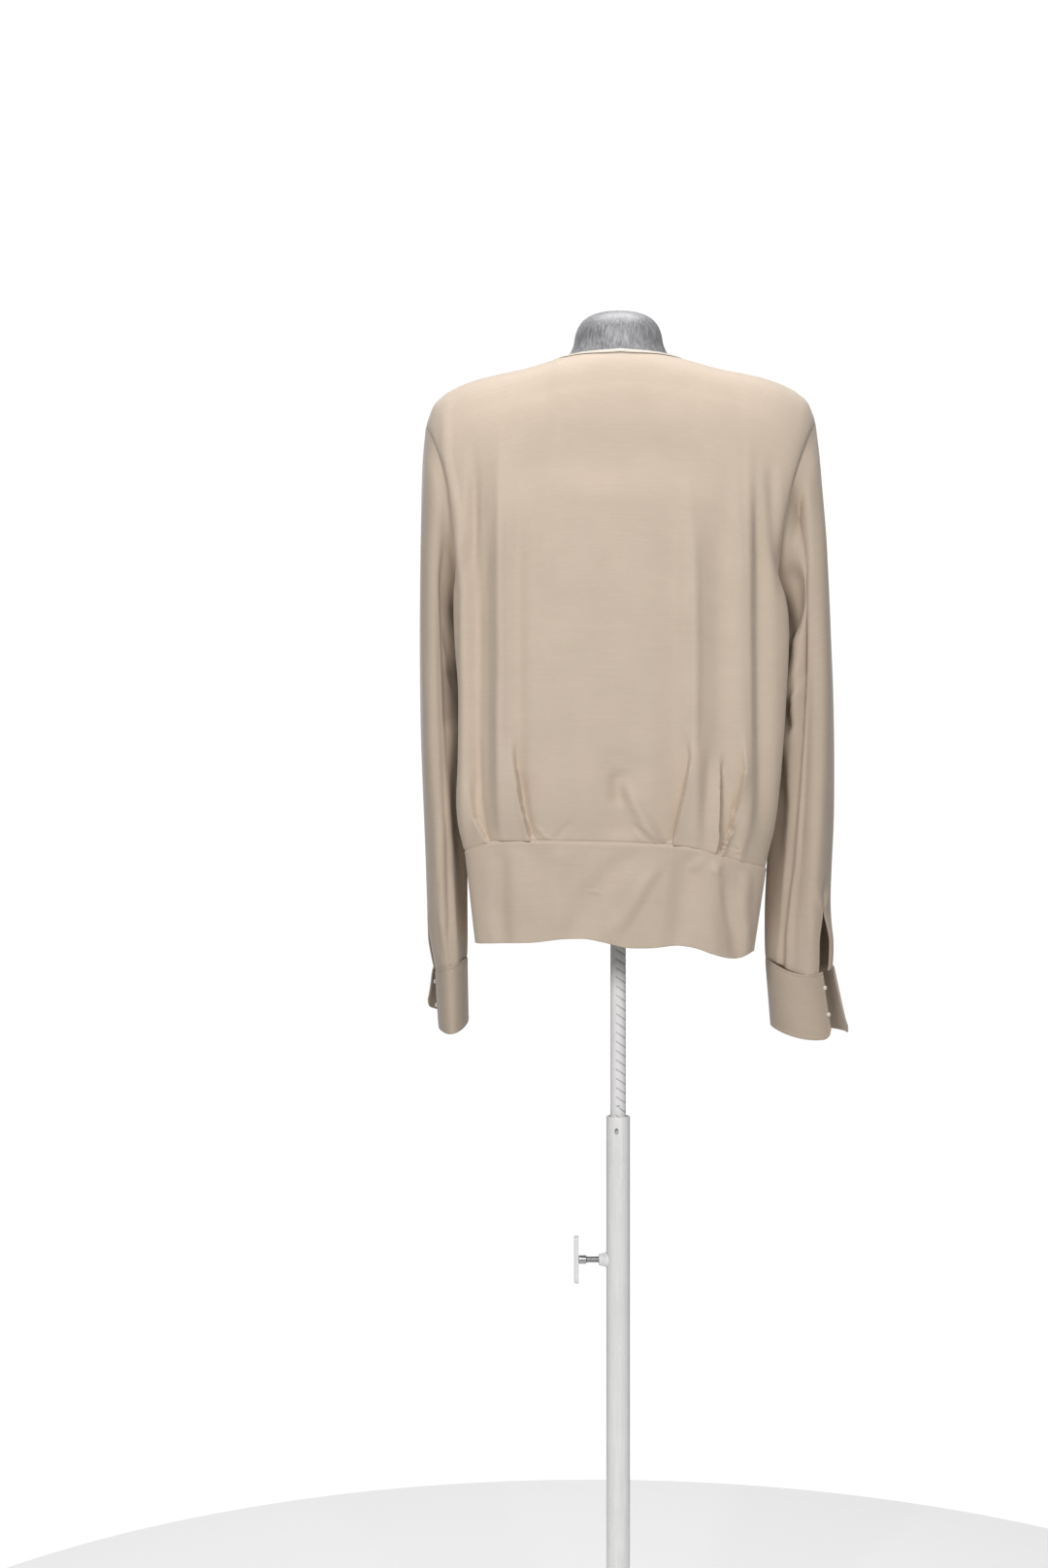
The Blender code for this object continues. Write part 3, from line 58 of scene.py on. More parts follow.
# Cloth: its thickness, how far it stands off the form, and how a seam draws it in
CLOTH = 1.0 * MM
BAND_CLOTH = 1.8 * MM
CUFF_CLOTH = 1.3 * MM
BINDING_CLOTH = 0.4 * MM
FORM_DEPTH = 4.1 * MM
REST_DEPTH = 1.8 * MM
SHOULDER_REST = (130 * MM, 30 * MM, 26 * MM)  # how far out it is, its reach along and across
SEAM_DIP = 0.45 * MM
SEAM_REACH = 1.4 * MM
WAIST_SEAM_DIP = 1.5 * MM
EDGE_BENDS = (math.radians(35), math.radians(90), math.radians(145))

# How much stronger the folds are laid on than their tables say
FOLD_GAIN = 1.2
BAND_FOLD_GAIN = 2.5

# How fine the grids are: a panel's column and row steps, with columns closer together beside the
# creases of its long pleats, and the columns round a sleeve and a cuff
PANEL_STEPS = {"back": (2.6 * MM, 0.062), "front": (3.6 * MM, 0.085)}
BODY_HALF = 150 * MM
PLEAT_REACH = 7 * MM
LONG_PLEAT = 60  # mm of reach up
BESIDE_PLEAT = 0.45
SLEEVE_COLUMNS = 109
CUFF_COLUMNS = 121

# Rounds of halving that find the neckline, and of easing that smooth the rows at the underarm
HALVINGS = 30
EASINGS = 120

# Neckline and shoulders
NECK_HALF = 66 * MM
NECK_POINT_Y = 8 * MM
NECK_POINT_Z = 1432 * MM
NECK_ROOT_Z = 1446 * MM
NECK_DEPTH = {"back": 54 * MM, "front": 88 * MM}
NECK_SHARE = 0.6
SHOULDER_HOLD = 3.0
BULGE_PEAK = 0.385

# The shoulder seam's height over the armhole's top, by how far out along it a point is
SHOULDER_LINE = [  # share out, height over the tip (mm)
    (0.33, 63), (0.48, 54.5), (0.62, 50), (0.74, 45), (0.84, 38), (0.91, 30), (0.96, 20), (1, 0),
]

# Armholes by their four points, and the angle round them at each of the body's first rows (mm)
ARMHOLE = {
    "left": {
        "outer": (198, -3, 1367), "back": (169.5, 75, 1284), "inner": (157, 0, 1185),
        "front": (166, -68, 1268),
    },
    "right": {
        "outer": (-203, -3, 1371), "back": (-167.5, 75, 1285), "inner": (-160, 0, 1185),
        "front": (-168, -68, 1268),
    },
}
ARMHOLE_ANGLES = [[0], [24], [48], [78], [112], [146], [180]]

# Body rows from the shoulder seam (0) to the underarm and the waist seam
UNDERARM_ROW = 6
PLEAT_TOP_ROW = 9
FLAT_ROW = 10
WAIST_ROW = 12
CENTRE = {  # y, z, squareness, left corner, right corner (mm, where it has one)
    "back": [
        (8, 1446, 2, 0, 0), (60, 1437, 2.1, 0, 0), (85, 1397, 2.2, 0, 0), (98, 1350, 2.4, 0, 0),
        (107, 1300, 2.6, 8, 1), (111, 1250, 2.8, 19, 6), (112, 1200, 3, 22, 21),
        (112, 1150, 3.1, 26, 26), (112, 1095, 3.2, 23, 26), (112, 1040, 3.2, 24, 24),
        (111, 1000, 3.2, 25, 22), (109, 968, 3.2, 23, 19), (105, 942, 3.2, 18, 12),
    ],
    "front": [
        (8, 1446, 2, 0, 0), (-48, 1408, 2.1, 0, 0), (-84, 1352, 2.2, 0, 0),
        (-110, 1300, 2.3, 0, 0), (-124, 1255, 2.4, 0, 0), (-131, 1215, 2.5, 0, 0),
        (-131, 1180, 2.6, 3, 3), (-128, 1138, 2.7, 10, 10), (-124, 1090, 2.8, 13, 13),
        (-121, 1040, 2.9, 15, 15), (-119, 1000, 2.9, 15, 15), (-116, 968, 2.9, 14, 14),
        (-110, 938, 2.9, 10, 10),
    ],
}
SIDE_SEAM = {  # x, y, z from the underarm to the waist seam (mm)
    "left": [
        (157, 0, 1185), (152, 0, 1142), (149.5, 0, 1092), (148.5, 0, 1040), (148.5, 0, 1000),
        (148.5, 0, 966), (147.5, 0, 932),
    ],
    "right": [
        (-160, 0, 1185), (-154, 0, 1142), (-151, 0, 1092), (-149.5, 0, 1040), (-148, 0, 1000),
        (-145.5, 0, 962), (-142.5, 0, 918),
    ],
}

# Height of the waist seam and the hem round the body, by x (mm)
WAIST_SEAM = {
    "back": [
        (-147, 915), (-120, 922), (-100, 928), (-84, 933), (-68, 937), (-50, 939.5), (0, 942),
        (60, 943), (118, 943.5), (132, 942.5), (147, 936), (160, 932),
    ],
    "front": [(-147, 916), (-110, 930), (-60, 937), (0, 938), (60, 938), (110, 937), (150, 933)],
}
HEM = {
    "back": [
        (-131, 833), (-122, 826), (-105, 827), (-88, 832), (-74, 838), (-55, 841), (-30, 838),
        (-5, 838), (15, 843), (35, 847.5), (60, 847), (88, 843), (118, 842), (147, 840.5),
    ],
    "front": [(-131, 834), (-90, 843), (-40, 846), (20, 842), (70, 846), (147, 841)],
}

# Pleats at the waist seam. side is +1 where the outer layer lies on the wearer's left of the
# crease.
PLEATS = {  # x at the seam, 30 mm up, 90 mm up, side, height, depth beside it, reach up (mm)
    "back": [
        (134, 148, 156, 1, 3.4, 2.2, 85), (91, 99.5, 109, 1, 4.2, 3, 110),
        (-50, -57, -68, -1, 4.4, 3.2, 120), (-92, -93.5, -95.5, 1, 4, 3.4, 110),
        (-97.5, -110, -120, -1, 4.2, 2.4, 140), (-117, -112, -110, -1, 1.6, 1.4, 22),
    ],
    "front": [
        (118, 124, 132, 1, 3.4, 2.4, 90), (78, 84, 92, 1, 4, 3, 110),
        (-76, -83, -91, -1, 4, 3, 105), (-112, -119, -127, -1, 3.4, 2.4, 95),
    ],
}
PLEAT_STEP = 1.5 * MM
PLEAT_LIP = 1.3 * MM
PLEAT_CRISPNESS = 1.5
PLEAT_SPREAD = 13 * MM

# Long soft folds that hang from the shoulder blades. Height under 0 is a trough.
FOLDS = {  # x at the foot, x at the head, foot z, head z, half-width, height (mm)
    "back": [
        (117, 118.5, 950, 1330, 10, 5), (140, 141, 975, 1310, 10, -5.5),
        (88, 89, 985, 1300, 9, 2), (103, 104, 990, 1300, 7, -2.2), (-68, -68, 965, 1290, 9, 2.6),
        (-48, -45, 960, 1330, 11, -1.8), (-96, -95, 990, 1280, 9, -2.4),
        (-121, -119, 960, 1310, 9, 4.2), (-138, -136, 985, 1290, 9, -4.2),
        (2, 2, 950, 1030, 16, -2.4), (-25, -8, 943, 995, 9, 2.2),
    ],
    "front": [
        (104, 96, 955, 1180, 11, 4), (122, 116, 960, 1170, 9, -3), (62, 56, 960, 1150, 11, 2.5),
        (80, 74, 970, 1160, 8, -2.5), (-60, -52, 958, 1160, 11, 3),
        (-80, -74, 970, 1150, 8, -2.6), (-103, -97, 955, 1185, 11, 4.2),
        (-121, -117, 960, 1170, 9, -3), (0, 4, 950, 1060, 20, -2),
    ],
}

# Finer folds of the panels: a line of (x, z) points each, with its half-width and height (mm)
FINE_FOLDS = {  # (x, z) from the foot up (mm), half-width, height
    "back": [
        (((136, 950), (143, 985), (147, 1040)), 3.5, -1.6),
        (((157, 960), (156, 1080), (157, 1190), (166, 1275), (176, 1330)), 4.5, 3),
        (((168, 1215), (174, 1270), (182, 1310)), 5, -2),
        (((147, 1000), (146, 1150), (148, 1290)), 4.5, -2.4),
        (((103, 1000), (103, 1150), (104, 1290)), 7, 1.8),
        (((118, 1020), (119, 1150), (121, 1290)), 4, 2),
        (((-129, 1010), (-127, 1150), (-126, 1290)), 4, 2.2),
        (((-71, 1000), (-72, 1110), (-71, 1230)), 4, 1.4),
        (((88, 944), (93, 965), (98, 1000)), 3, -1.4),
        (((-35, 946), (-14, 975), (-1, 1003)), 5.5, 2.4),
        (((3, 982), (4, 1000), (2, 1010)), 7, -3.4),
        (((-26, 944), (-18, 951), (-12, 960)), 3, -1.2),
        (((-38, 944), (-27, 953), (-15, 962)), 3.4, 1.1),
        (((74, 946), (79, 951), (83, 957)), 2.6, 1.2),
        (((66, 946), (60, 952), (52, 962)), 3.4, -0.9),
        (((-105, 930), (-112, 955), (-114, 985)), 3, -1.6),
        (((-116, 926), (-122, 950), (-127, 990)), 4, 1.4),
        (((-84, 938), (-82, 975), (-84, 1020)), 5, -1.2),
        (((-72, 941), (-74, 985), (-78, 1040)), 4.5, 1),
        (((118, 950), (121, 1000), (123, 1080)), 4, 1.3),
        (((28, 1010), (27, 1120), (30, 1230)), 12, 0.5),
        (((-20, 1040), (-22, 1150), (-20, 1260)), 12, -0.5),
        (((60, 1040), (61, 1160), (64, 1270)), 8, 0.7),
        (((-60, 1150), (-62, 1220), (-64, 1290)), 6, 0.8),
        (((150, 1190), (140, 1230), (133, 1290)), 6, 1.5),
        (((-151, 1195), (-143, 1240), (-137, 1300)), 6, 1.5),
        (((158, 1205), (150, 1250), (146, 1310)), 5, -1.6),
        (((-159, 1205), (-152, 1250), (-149, 1310)), 5, -1.6),
    ],
    "front": [
        (((-60, 940), (-66, 985), (-74, 1050)), 5, 1.2),
        (((64, 940), (69, 985), (78, 1050)), 5, 1.1),
        (((-30, 940), (-24, 960), (-14, 990)), 6, 0.9),
        (((20, 940), (16, 965), (10, 1000)), 6, -0.9),
        (((150, 1190), (132, 1235), (112, 1280)), 7, 2),
        (((-152, 1190), (-134, 1235), (-114, 1280)), 7, 2),
        (((30, 1350), (34, 1250), (36, 1150)), 12, 1),
        (((-30, 1350), (-36, 1250), (-38, 1150)), 12, 1),
    ],
}

# Broad swells of the panels where the cloth stands off the form or rests on it
SWELLS = {  # x, z, half-width, half-height, height (mm)
    "back": [
        (12, 1322, 62, 22, -4.8), (84, 1352, 48, 26, 1.6), (-66, 1352, 50, 26, 1.6),
        (5, 1180, 90, 120, 1.2), (-136, 1120, 16, 120, -1),
    ],
    "front": [(0, 1300, 60, 40, -2.5), (72, 1265, 50, 50, 2), (-72, 1265, 50, 50, 2)],
}

# The waist seam's puckers: how strong they are, by x (mm)
PUCKERS = {
    "back": [
        (-147, 0.4), (-95, 0.7), (-60, 1), (-5, 1), (20, 0.35), (80, 0.6), (100, 0.3), (150, 0.3),
    ],
    "front": [(-150, 0.5), (-60, 0.8), (0, 0.4), (60, 0.7), (150, 0.5)],
}

# The waistband: how it tapers to the hem, its large folds and its soft ones
BAND_TAPER = {"left": 0.935, "right": 0.92, "depth": 0.91}
BAND_PROUD = 0.8 * MM
BAND_DEPTH = 100  # mm
BAND_FOLDS = {  # x, share down, half-width, height (mm)
    "back": [
        (60, 0.5, 22, -2.5), (-20, 0.5, 18, 2), (-75, 0.5, 20, -2.5), (-118, 0.5, 12, 2),
        (115, 0.5, 14, 1.5),
    ],
    "front": [(70, 0.5, 24, -2), (-10, 0.5, 22, 1.5), (-90, 0.5, 20, -2)],
}
FINE_BAND_FOLDS = {  # (x, share down) points, half-width (mm), height (mm)
    "back": [
        (((-30, 0.25), (-12, 0.55), (10, 0.9)), 7, 1.3),
        (((-6, 0.1), (26, 0.5), (44, 0.95)), 12, -1.3), (((60, 0), (66, 0.4), (64, 0.9)), 9, 0.9),
        (((104, 0.05), (100, 0.5), (104, 1)), 9, 1),
        (((122, 0.1), (121, 0.6), (118, 1)), 7, -0.9),
        (((-66, 0.1), (-60, 0.6), (-56, 1)), 10, -1.3),
        (((-90, 0), (-88, 0.5), (-92, 1)), 9, 1.4),
        (((-104, 0.3), (-112, 0.7), (-116, 1)), 6, -1.4),
        (((-84, 0.02), (-74, 0.14), (-70, 0.22)), 4, 1),
        (((-98, 0.02), (-93, 0.12), (-92, 0.2)), 4, 0.9),
        (((24, 0.5), (40, 0.56), (58, 0.52)), 5, 0.7),
        (((-124, 0.1), (-122, 0.5), (-126, 0.9)), 5, 1),
    ],
    "front": [
        (((-70, 0.1), (-60, 0.6), (-52, 1)), 10, 1.2),
        (((20, 0.1), (30, 0.5), (44, 1)), 12, -1.2), (((90, 0.1), (92, 0.6), (88, 1)), 10, 1.2),
    ],
}

# Sleeves, ring by ring from the armhole to the cuff seam
SLEEVES = {  # outer x, outer z, inner x, inner z, back y, front y, side x, side z (mm)
    "left": [
        (201.2, 1336, 162, 1178, 76.5, -69, 178, 1268),
        (202.6, 1302, 167.5, 1169, 76, -69, 182, 1246),
        (203.4, 1256, 168.4, 1155, 73, -68, 184.5, 1214),
        (204, 1205, 165.4, 1135, 69, -67, 184.5, 1176),
        (204.2, 1150, 163, 1106, 65, -65, 184, 1132),
        (203.8, 1096, 160.5, 1072, 61, -63, 183, 1086),
        (203, 1046, 158.8, 1034, 58, -61, 181.5, 1041),
        (201.4, 1000, 157.2, 996, 56, -60, 180, 998), (199.8, 960, 156, 958, 55, -58, 178.5, 959),
        (198.2, 920, 155.4, 920, 54, -56, 177.5, 920),
        (196.8, 878, 155.2, 878, 53, -53, 176.5, 878),
        (194.4, 845, 155, 845, 50, -49, 174.5, 845),
        (190.6, 822, 155.2, 829, 46, -45, 172.5, 825),
        (188.2, 811.5, 155.6, 822, 44.5, -43.5, 171.5, 816),
    ],
    "right": [
        (-205.8, 1340, -165.5, 1178, 76.5, -69, -180, 1270),
        (-208.6, 1306, -169.5, 1169, 76, -69, -185, 1248),
        (-212.8, 1256, -170, 1155, 74, -68, -188, 1214),
        (-216, 1205, -166, 1135, 71, -67, -188, 1176),
        (-218.4, 1150, -163.5, 1106, 68, -65, -189, 1132),
        (-220.6, 1096, -161, 1072, 65, -63, -189.5, 1086),
        (-221.6, 1046, -159, 1034, 61, -61, -189.5, 1041),
        (-221.8, 1000, -157, 996, 58, -59, -189, 998),
        (-221.4, 960, -155.2, 958, 55, -56, -188, 959),
        (-219.6, 920, -153.6, 920, 51, -52, -187, 920),
        (-218.4, 880, -151.6, 880, 46, -47, -186, 880),
        (-220, 848, -151.2, 848, 41, -41, -186, 848),
        (-220.6, 826, -151.4, 829, 37.5, -36, -186, 820),
        (-219.6, 814, -152, 820.5, 36, -34, -186, 806.5),
    ],
}
SLIT_ROW = 11
SLIT_ANGLE = {"left": 10.5, "right": 50.74}
SLIT_WIDTH = {"left": 7 * MM, "right": 14 * MM}

# Folds of the sleeves, at angles round them: 0 is outer, 90 back, 180 inner, 270 front. The
# finer ones are lines of (angle, z) points with a half-width in degrees and a height in mm.
SLEEVE_FOLDS = {  # angle at the head, at the foot, head z, foot z, half-width, height
    "left": [
        (112, 104, 1300, 860, 22, -5), (62, 66, 1330, 1000, 24, 3), (250, 262, 1250, 850, 24, -5),
        (296, 300, 1300, 1040, 22, 3), (140, 134, 1120, 1060, 18, -3), (84, 74, 960, 850, 16, 3),
    ],
    "right": [
        (86, 112, 1345, 818, 20, -11), (60, 74, 1320, 880, 22, 4), (126, 136, 1215, 1150, 15, -5),
        (128, 138, 1120, 1040, 18, 4), (140, 136, 1085, 1055, 13, -5),
        (246, 258, 1280, 860, 24, -6), (300, 292, 1280, 980, 22, 3),
    ],
}
FINE_SLEEVE_FOLDS = {  # (angle, z) from the head down, half-width (degrees), height (mm)
    "left": [
        (((100, 1230), (104, 1120), (106, 1010)), 7, 1.4),
        (((174, 1190), (180, 1155), (186, 1115)), 22, 3.4),
        (((128, 1150), (138, 1118), (148, 1100)), 7, -2.2),
        (((142, 1010), (146, 920), (146, 835)), 14, -7),
        (((112, 1000), (116, 920), (118, 835)), 8, 1.6),
        (((146, 1165), (150, 1140), (160, 1118)), 6, 1.5),
        (((70, 905), (66, 870), (60, 835)), 8, -1.3),
        (((118, 900), (116, 850), (114, 815)), 7, 1.4),
        (((96, 860), (92, 835), (90, 812)), 5, -1.2),
        (((40, 1300), (46, 1200), (50, 1100)), 9, 1), (((34, 880), (26, 860), (18, 848)), 7, 1),
        (((250, 1200), (262, 1150), (270, 1110)), 9, 1.6),
        (((215, 1170), (225, 1120), (236, 1080)), 9, -1.8),
        (((240, 900), (246, 850), (250, 815)), 8, 1.4),
    ],
    "right": [
        (((84, 1340), (91, 1262), (104, 1155), (120, 1017), (126, 930), (134, 840)), 6.5, -7),
        (((86, 1330), (92, 1262), (101, 1180)), 13, -3.6),
        (((72, 1330), (78, 1262), (91, 1155), (106, 1017), (111, 930), (118, 850)), 7.5, 2.5),
        (((122, 1230), (128, 1205), (130, 1168)), 7, -3.4),
        (((140, 1220), (146, 1200), (150, 1170)), 7, 2),
        (((112, 1118), (124, 1100), (134, 1084)), 5.5, -2.2),
        (((110, 1104), (122, 1086), (130, 1070)), 5.5, 1.8),
        (((142, 1080), (140, 1060), (131, 1048)), 8, -3.2),
        (((138, 1040), (134, 1020), (136, 990)), 7, 1.6),
        (((124, 900), (126, 870), (128, 840)), 6, 1.4),
        (((68, 892), (61, 882), (55, 874)), 5, 1.5),
        (((50, 900), (50.5, 886), (50.7, 876)), 3.5, -1.6),
        (((36, 892), (42, 882), (47, 874)), 5, 1.5),
        (((146, 1010), (148, 900), (148, 825)), 15, -8),
        (((140, 1250), (142, 1180), (146, 1110)), 9, -3),
        (((160, 1150), (158, 1110), (158, 1060)), 9, 2.5),
        (((102, 930), (100, 870), (98, 825)), 8, 1.3),
        (((250, 1180), (258, 1100), (262, 1010)), 8, -1.8),
        (((214, 1160), (228, 1120), (240, 1080)), 8, 1.8),
    ],
}

# Cuffs by the four points of their lower edge; the upper edge follows the sleeve
CUFF_FOOT = {
    "left": {
        "outer": (183.5, 0, 752), "back": (169.5, 45, 747.5), "inner": (154.5, 0, 757),
        "front": (169.5, -44, 756),
    },
    "right": {
        "outer": (-227, 0, 746), "back": (-193, 36, 740.5), "inner": (-157.5, 0, 752),
        "front": (-192, -34, 748),
    },
}
CUFF_LAP = {"left": 338.0, "right": 331.0}
CUFF_LAP_LIFT = {"left": 16 * MM, "right": 0.0}
CUFF_FLARE = {"left": 13 * MM, "right": 10 * MM}
CUFF_PROUD = 0.5 * MM
CUFF_ROUND = 210  # mm, as are the next four
CUFF_DEPTH = 65
CUFF_CORNER = 9.0
CUFF_CORNER_ROUND = 200
CUFF_EDGE_STITCH = 3.0
CUFF_BUTTON_SHARES = (0.24, 0.68)
BUTTON_RADIUS = 2.3 * MM
BUTTON_INSET = 1.0 * MM
BUTTON_THICKNESS = 2.0 * MM
BUTTON_GAP = 0.3 * MM

# The neckline binding's section: how far out from the edge and off the cloth (mm)
BINDING_SECTION = [
    (-1.0, -0.6), (-1.5, 0.3), (-1.3, 1.2), (-0.6, 1.8), (0.6, 2.0), (1.9, 1.9), (3.0, 1.65),
    (3.9, 1.2), (4.2, 0.8),
]
BINDING_STITCHES = (3.1, 1.62)

# A stitch: share of its length, how far off the cloth it lies (mm)
STITCH_ARC = ((0, -0.22), (0.15, 0.05), (0.5, 0.16), (0.85, 0.05), (1, -0.22))

# The form: how much slimmer than the blouse it is, by z, and the domes over its neck and arms
FORM_SLIMMING = [
    (945, 0.88), (1000, 0.84), (1060, 0.78), (1110, 0.8), (1160, 0.87), (1210, 0.93),
    (1260, 0.955), (1310, 0.975), (1355, 1), (1500, 1),
]
FORM_ROWS = [0, 0.5, 1, 1.5, 2.1, 2.8, 3.7, 4.8, 6, 7.5, 9, 10, 11]
FORM_COLUMNS = 28
FORM_NECK_SHARE = 0.62
FORM_BOTTOM = 955 * MM
FORM_FOOT_SHARE = 0.3
NECK_TOP = 1485 * MM
NECK_RADIUS = (46.5 * MM, 47 * MM)
NECK_CENTRE_Y = 4 * MM
NECK_RINGS = [  # z (mm), share of the neck's radius
    (1450, 1), (1458, 0.985), (1466, 0.94), (1473.5, 0.85), (1479.5, 0.7), (1483, 0.49),
    (1484.6, 0.24),
]
ARM_CAP = [(0.8, 2.5), (0.5, 5), (0.22, 6), (0, 6.2)]  # share of the armhole, how far out (mm)

# Stand
SOCKET_RADIUS = 16 * MM
SOCKET_FLANGE = 40 * MM
SOCKET_BOTTOM = 915 * MM
MAST_RADIUS = 8 * MM
MAST_BOTTOM = 358 * MM
MAST_TOP = 949.7 * MM
MAST_HOLE_Z = 668.5 * MM
RIFLE_PITCH = 9.5 * MM
RIFLE_DEPTH = 0.5 * MM
RIFLE_PLAIN_ANGLE = math.radians(28)
TUBE_RADIUS = 12.2 * MM
TUBE_BORE = 10.9 * MM
TUBE_TOP = 658 * MM
TUBE_BOTTOM = 7.3 * MM
STOP_HOLE_Z = 643.5 * MM
CLAMP_Z = 510 * MM
CLAMP_GAP = 0.3 * MM
SCREW_RADIUS = 3.3 * MM
THREAD_PITCH = 1.25 * MM
BOSS_RADIUS = 6.5 * MM
BOSS_END = 20 * MM
HUB_RADIUS = 4.5 * MM
HUB_START = 32.7 * MM
HUB_END = 40.5 * MM
BAR_SIZE = (4.5 * MM, 11 * MM, 49 * MM)
BAR_TURN = math.radians(4)
BASE_RADIUS = 168 * MM
BASE_THICKNESS = 7 * MM
COLLAR_RADIUS = 22 * MM
COLLAR_TOP = 36 * MM

# Cloth by its dark and light thread, roughness, sheen and bump
CLOTHS = {
    "beige_crepe": ((0.525, 0.428, 0.335), (0.60, 0.492, 0.39), 0.6, 0.3, 0.5),
    # The sleeve and cuff crepes are darker copies of the beige crepe: painted shade for the sleeves
    # and cuffs, which hang lower and farther out than the body
    "sleeve_crepe_painted_shade": ((0.475, 0.386, 0.300), (0.542, 0.443, 0.350), 0.6, 0.3, 0.5),
    "cuff_crepe_painted_shade": ((0.44, 0.356, 0.276), (0.50, 0.408, 0.320), 0.6, 0.3, 0.5),
    "cream_binding": ((0.66, 0.59, 0.50), (0.78, 0.71, 0.62), 0.5, 0.25, 0.35),
}
# Paint, metal and thread by its dark and light, roughness, metallic share, fineness and wear
SKINS = {
    "cream_thread": ((0.60, 0.51, 0.41), (0.72, 0.63, 0.52), 0.6, 0.0, 2500.0, 0.1),
    "form_silver": ((0.17, 0.17, 0.18), (0.42, 0.42, 0.435), 0.45, 0.2, 620.0, 0.1),
    "stand_paint": ((0.76, 0.755, 0.75), (0.84, 0.835, 0.83), 0.32, 0.0, 700.0, 0.35),
    "mast_metal": ((0.78, 0.765, 0.765), (0.86, 0.85, 0.85), 0.3, 0.0, 1100.0, 0.3),
    "screw_steel": ((0.42, 0.42, 0.42), (0.58, 0.58, 0.58), 0.3, 1.0, 1500.0, 0.4),
}

# Studio. The lens gives 1 mm at the pole to each of the photo's 1616 pixels upwards.
CAMERA_POINT = (0.097, 2.4, 1.0)
CAMERA_LENS = 36 * 2400 / 1616
SURROUND = 0.22
FLOOR_RADIUS = 0.95
FLOOR_GLOW = 0.12
LAMPS = {
    # energy, size, point, target
    "overhead": (22.0, (1.5, 0.8), (0.0, -0.1, 2.7), (0.0, 0.0, 1.3)),
    "back_left": (42.0, (0.8, 0.8), (1.0, 2.6, 2.1), (0.0, 0.0, 1.25)),
    "back_right": (30.0, (0.8, 0.8), (-0.8, 2.8, 2.1), (0.0, 0.0, 1.25)),
    "front_fill": (16.0, (1.8, 1.8), (0.3, -2.6, 1.7), (0.0, 0.0, 1.15)),
}


# Curves through short tables


def smooth_rows(table, places):
    """The rows of a table at fractional places, on a smooth curve through them."""
    rows = np.asarray(table, dtype=float)
    places = np.asarray(places, dtype=float)
    low = np.clip(np.floor(places).astype(int), 0, len(rows) - 2)
    share = (places - low)[..., None]
    start = rows[low]
    end = rows[low + 1]
    slope_start = (end - rows[np.maximum(low - 1, 0)]) / 2
    slope_end = (rows[np.minimum(low + 2, len(rows) - 1)] - start) / 2
    square = share * share
    cube = square * share
    return (
        (2 * cube - 3 * square + 1) * start
        + (cube - 2 * square + share) * slope_start
        + (3 * square - 2 * cube) * end
        + (cube - square) * slope_end
    )


def along(table, value):
    """The second column of a table in mm, read by its first and joined smoothly."""
    keys = [row[0] for row in table]
    heights = [row[1] for row in table]
    reads = [np.interp(value / MM + offset, keys, heights) for offset in (-6.0, 0.0, 6.0)]
    return (reads[0] + 2 * reads[1] + reads[2]) / 4 * MM


def curve_through(table, value):
    """The second column of a table, read by its first on a smooth curve through its points."""
    keys, heights = np.array(table, dtype=float).T
    slopes = np.gradient(heights, keys)
    low = np.clip(np.searchsorted(keys, value) - 1, 0, len(keys) - 2)
    span = keys[low + 1] - keys[low]
    share = np.clip((value - keys[low]) / span, 0, 1)
    start, end = heights[low], heights[low + 1]
    ends = (1 - share) * slopes[low] - share * slopes[low + 1]
    middle = (end - start) / span * (1 - 2 * share)
    return start + (end - start) * share + share * (1 - share) * span * (ends - middle)


def smooth_step(value):
    """Ease from 0 to 1."""
    value = np.clip(value, 0.0, 1.0)
    return value * value * (3 - 2 * value)


def loop_points(outer, back, inner, front, degrees):
    """Points of a rounded loop through its outer, back, inner and front points."""
    angle = np.radians(degrees)[..., None]
    middle = (outer + back + inner + front) / 4
    lift = (outer + inner - back - front) / 4
    across = (outer - inner) / 2
    through = (back - front) / 2
    return middle + across * np.cos(angle) + through * np.sin(angle) + lift * np.cos(2 * angle)


def named_loop(loop, degrees):
    """Points of a loop that is given by its four points in mm."""
    points = [np.array(loop[key]) * MM for key in ("outer", "back", "inner", "front")]
    return loop_points(*points, np.asarray(degrees, dtype=float))


def unit(vectors):
    """The same directions, 1 long."""
    return vectors / np.linalg.norm(vectors, axis=-1, keepdims=True)


def level(vectors):
    """Unit vectors without their height."""
    return unit(vectors * (1, 1, 0))


def off_sides(count, width):
    """0 in the first and last of a row's columns, 1 from a share of its half-width in."""
    return smooth_step((1 - np.abs(np.linspace(-1, 1, count))) / width)


# The body's surface


def armhole_angles(face, rows):
    """The angle round the armhole of the panel's edge at each row."""
    angles = smooth_rows(ARMHOLE_ANGLES, rows)[..., 0]
    return angles if face == "back" else 360 - angles


def edge_points(side, face, rows):
    """The panel's edge: the armhole down to the underarm, then the side seam."""
    armhole = named_loop(ARMHOLE[side], armhole_angles(face, rows))
    seam = smooth_rows(SIDE_SEAM[side], rows - UNDERARM_ROW) * MM
    return np.where((rows <= UNDERARM_ROW)[..., None], armhole, seam)


def shoulder_z(tip, out):
    """Height of the shoulder seam, carried on past the neck point to the neck's middle."""
    neck_out = NECK_HALF / np.abs(tip[..., 0])
    rise = curve_through(SHOULDER_LINE, out)
    beyond = tip[..., 2] + rise * (NECK_POINT_Z - tip[..., 2]) / SHOULDER_LINE[0][1]
    within = NECK_POINT_Z + (NECK_ROOT_Z - NECK_POINT_Z) * (1 - out / neck_out)
    return np.where(out < neck_out, within, beyond)


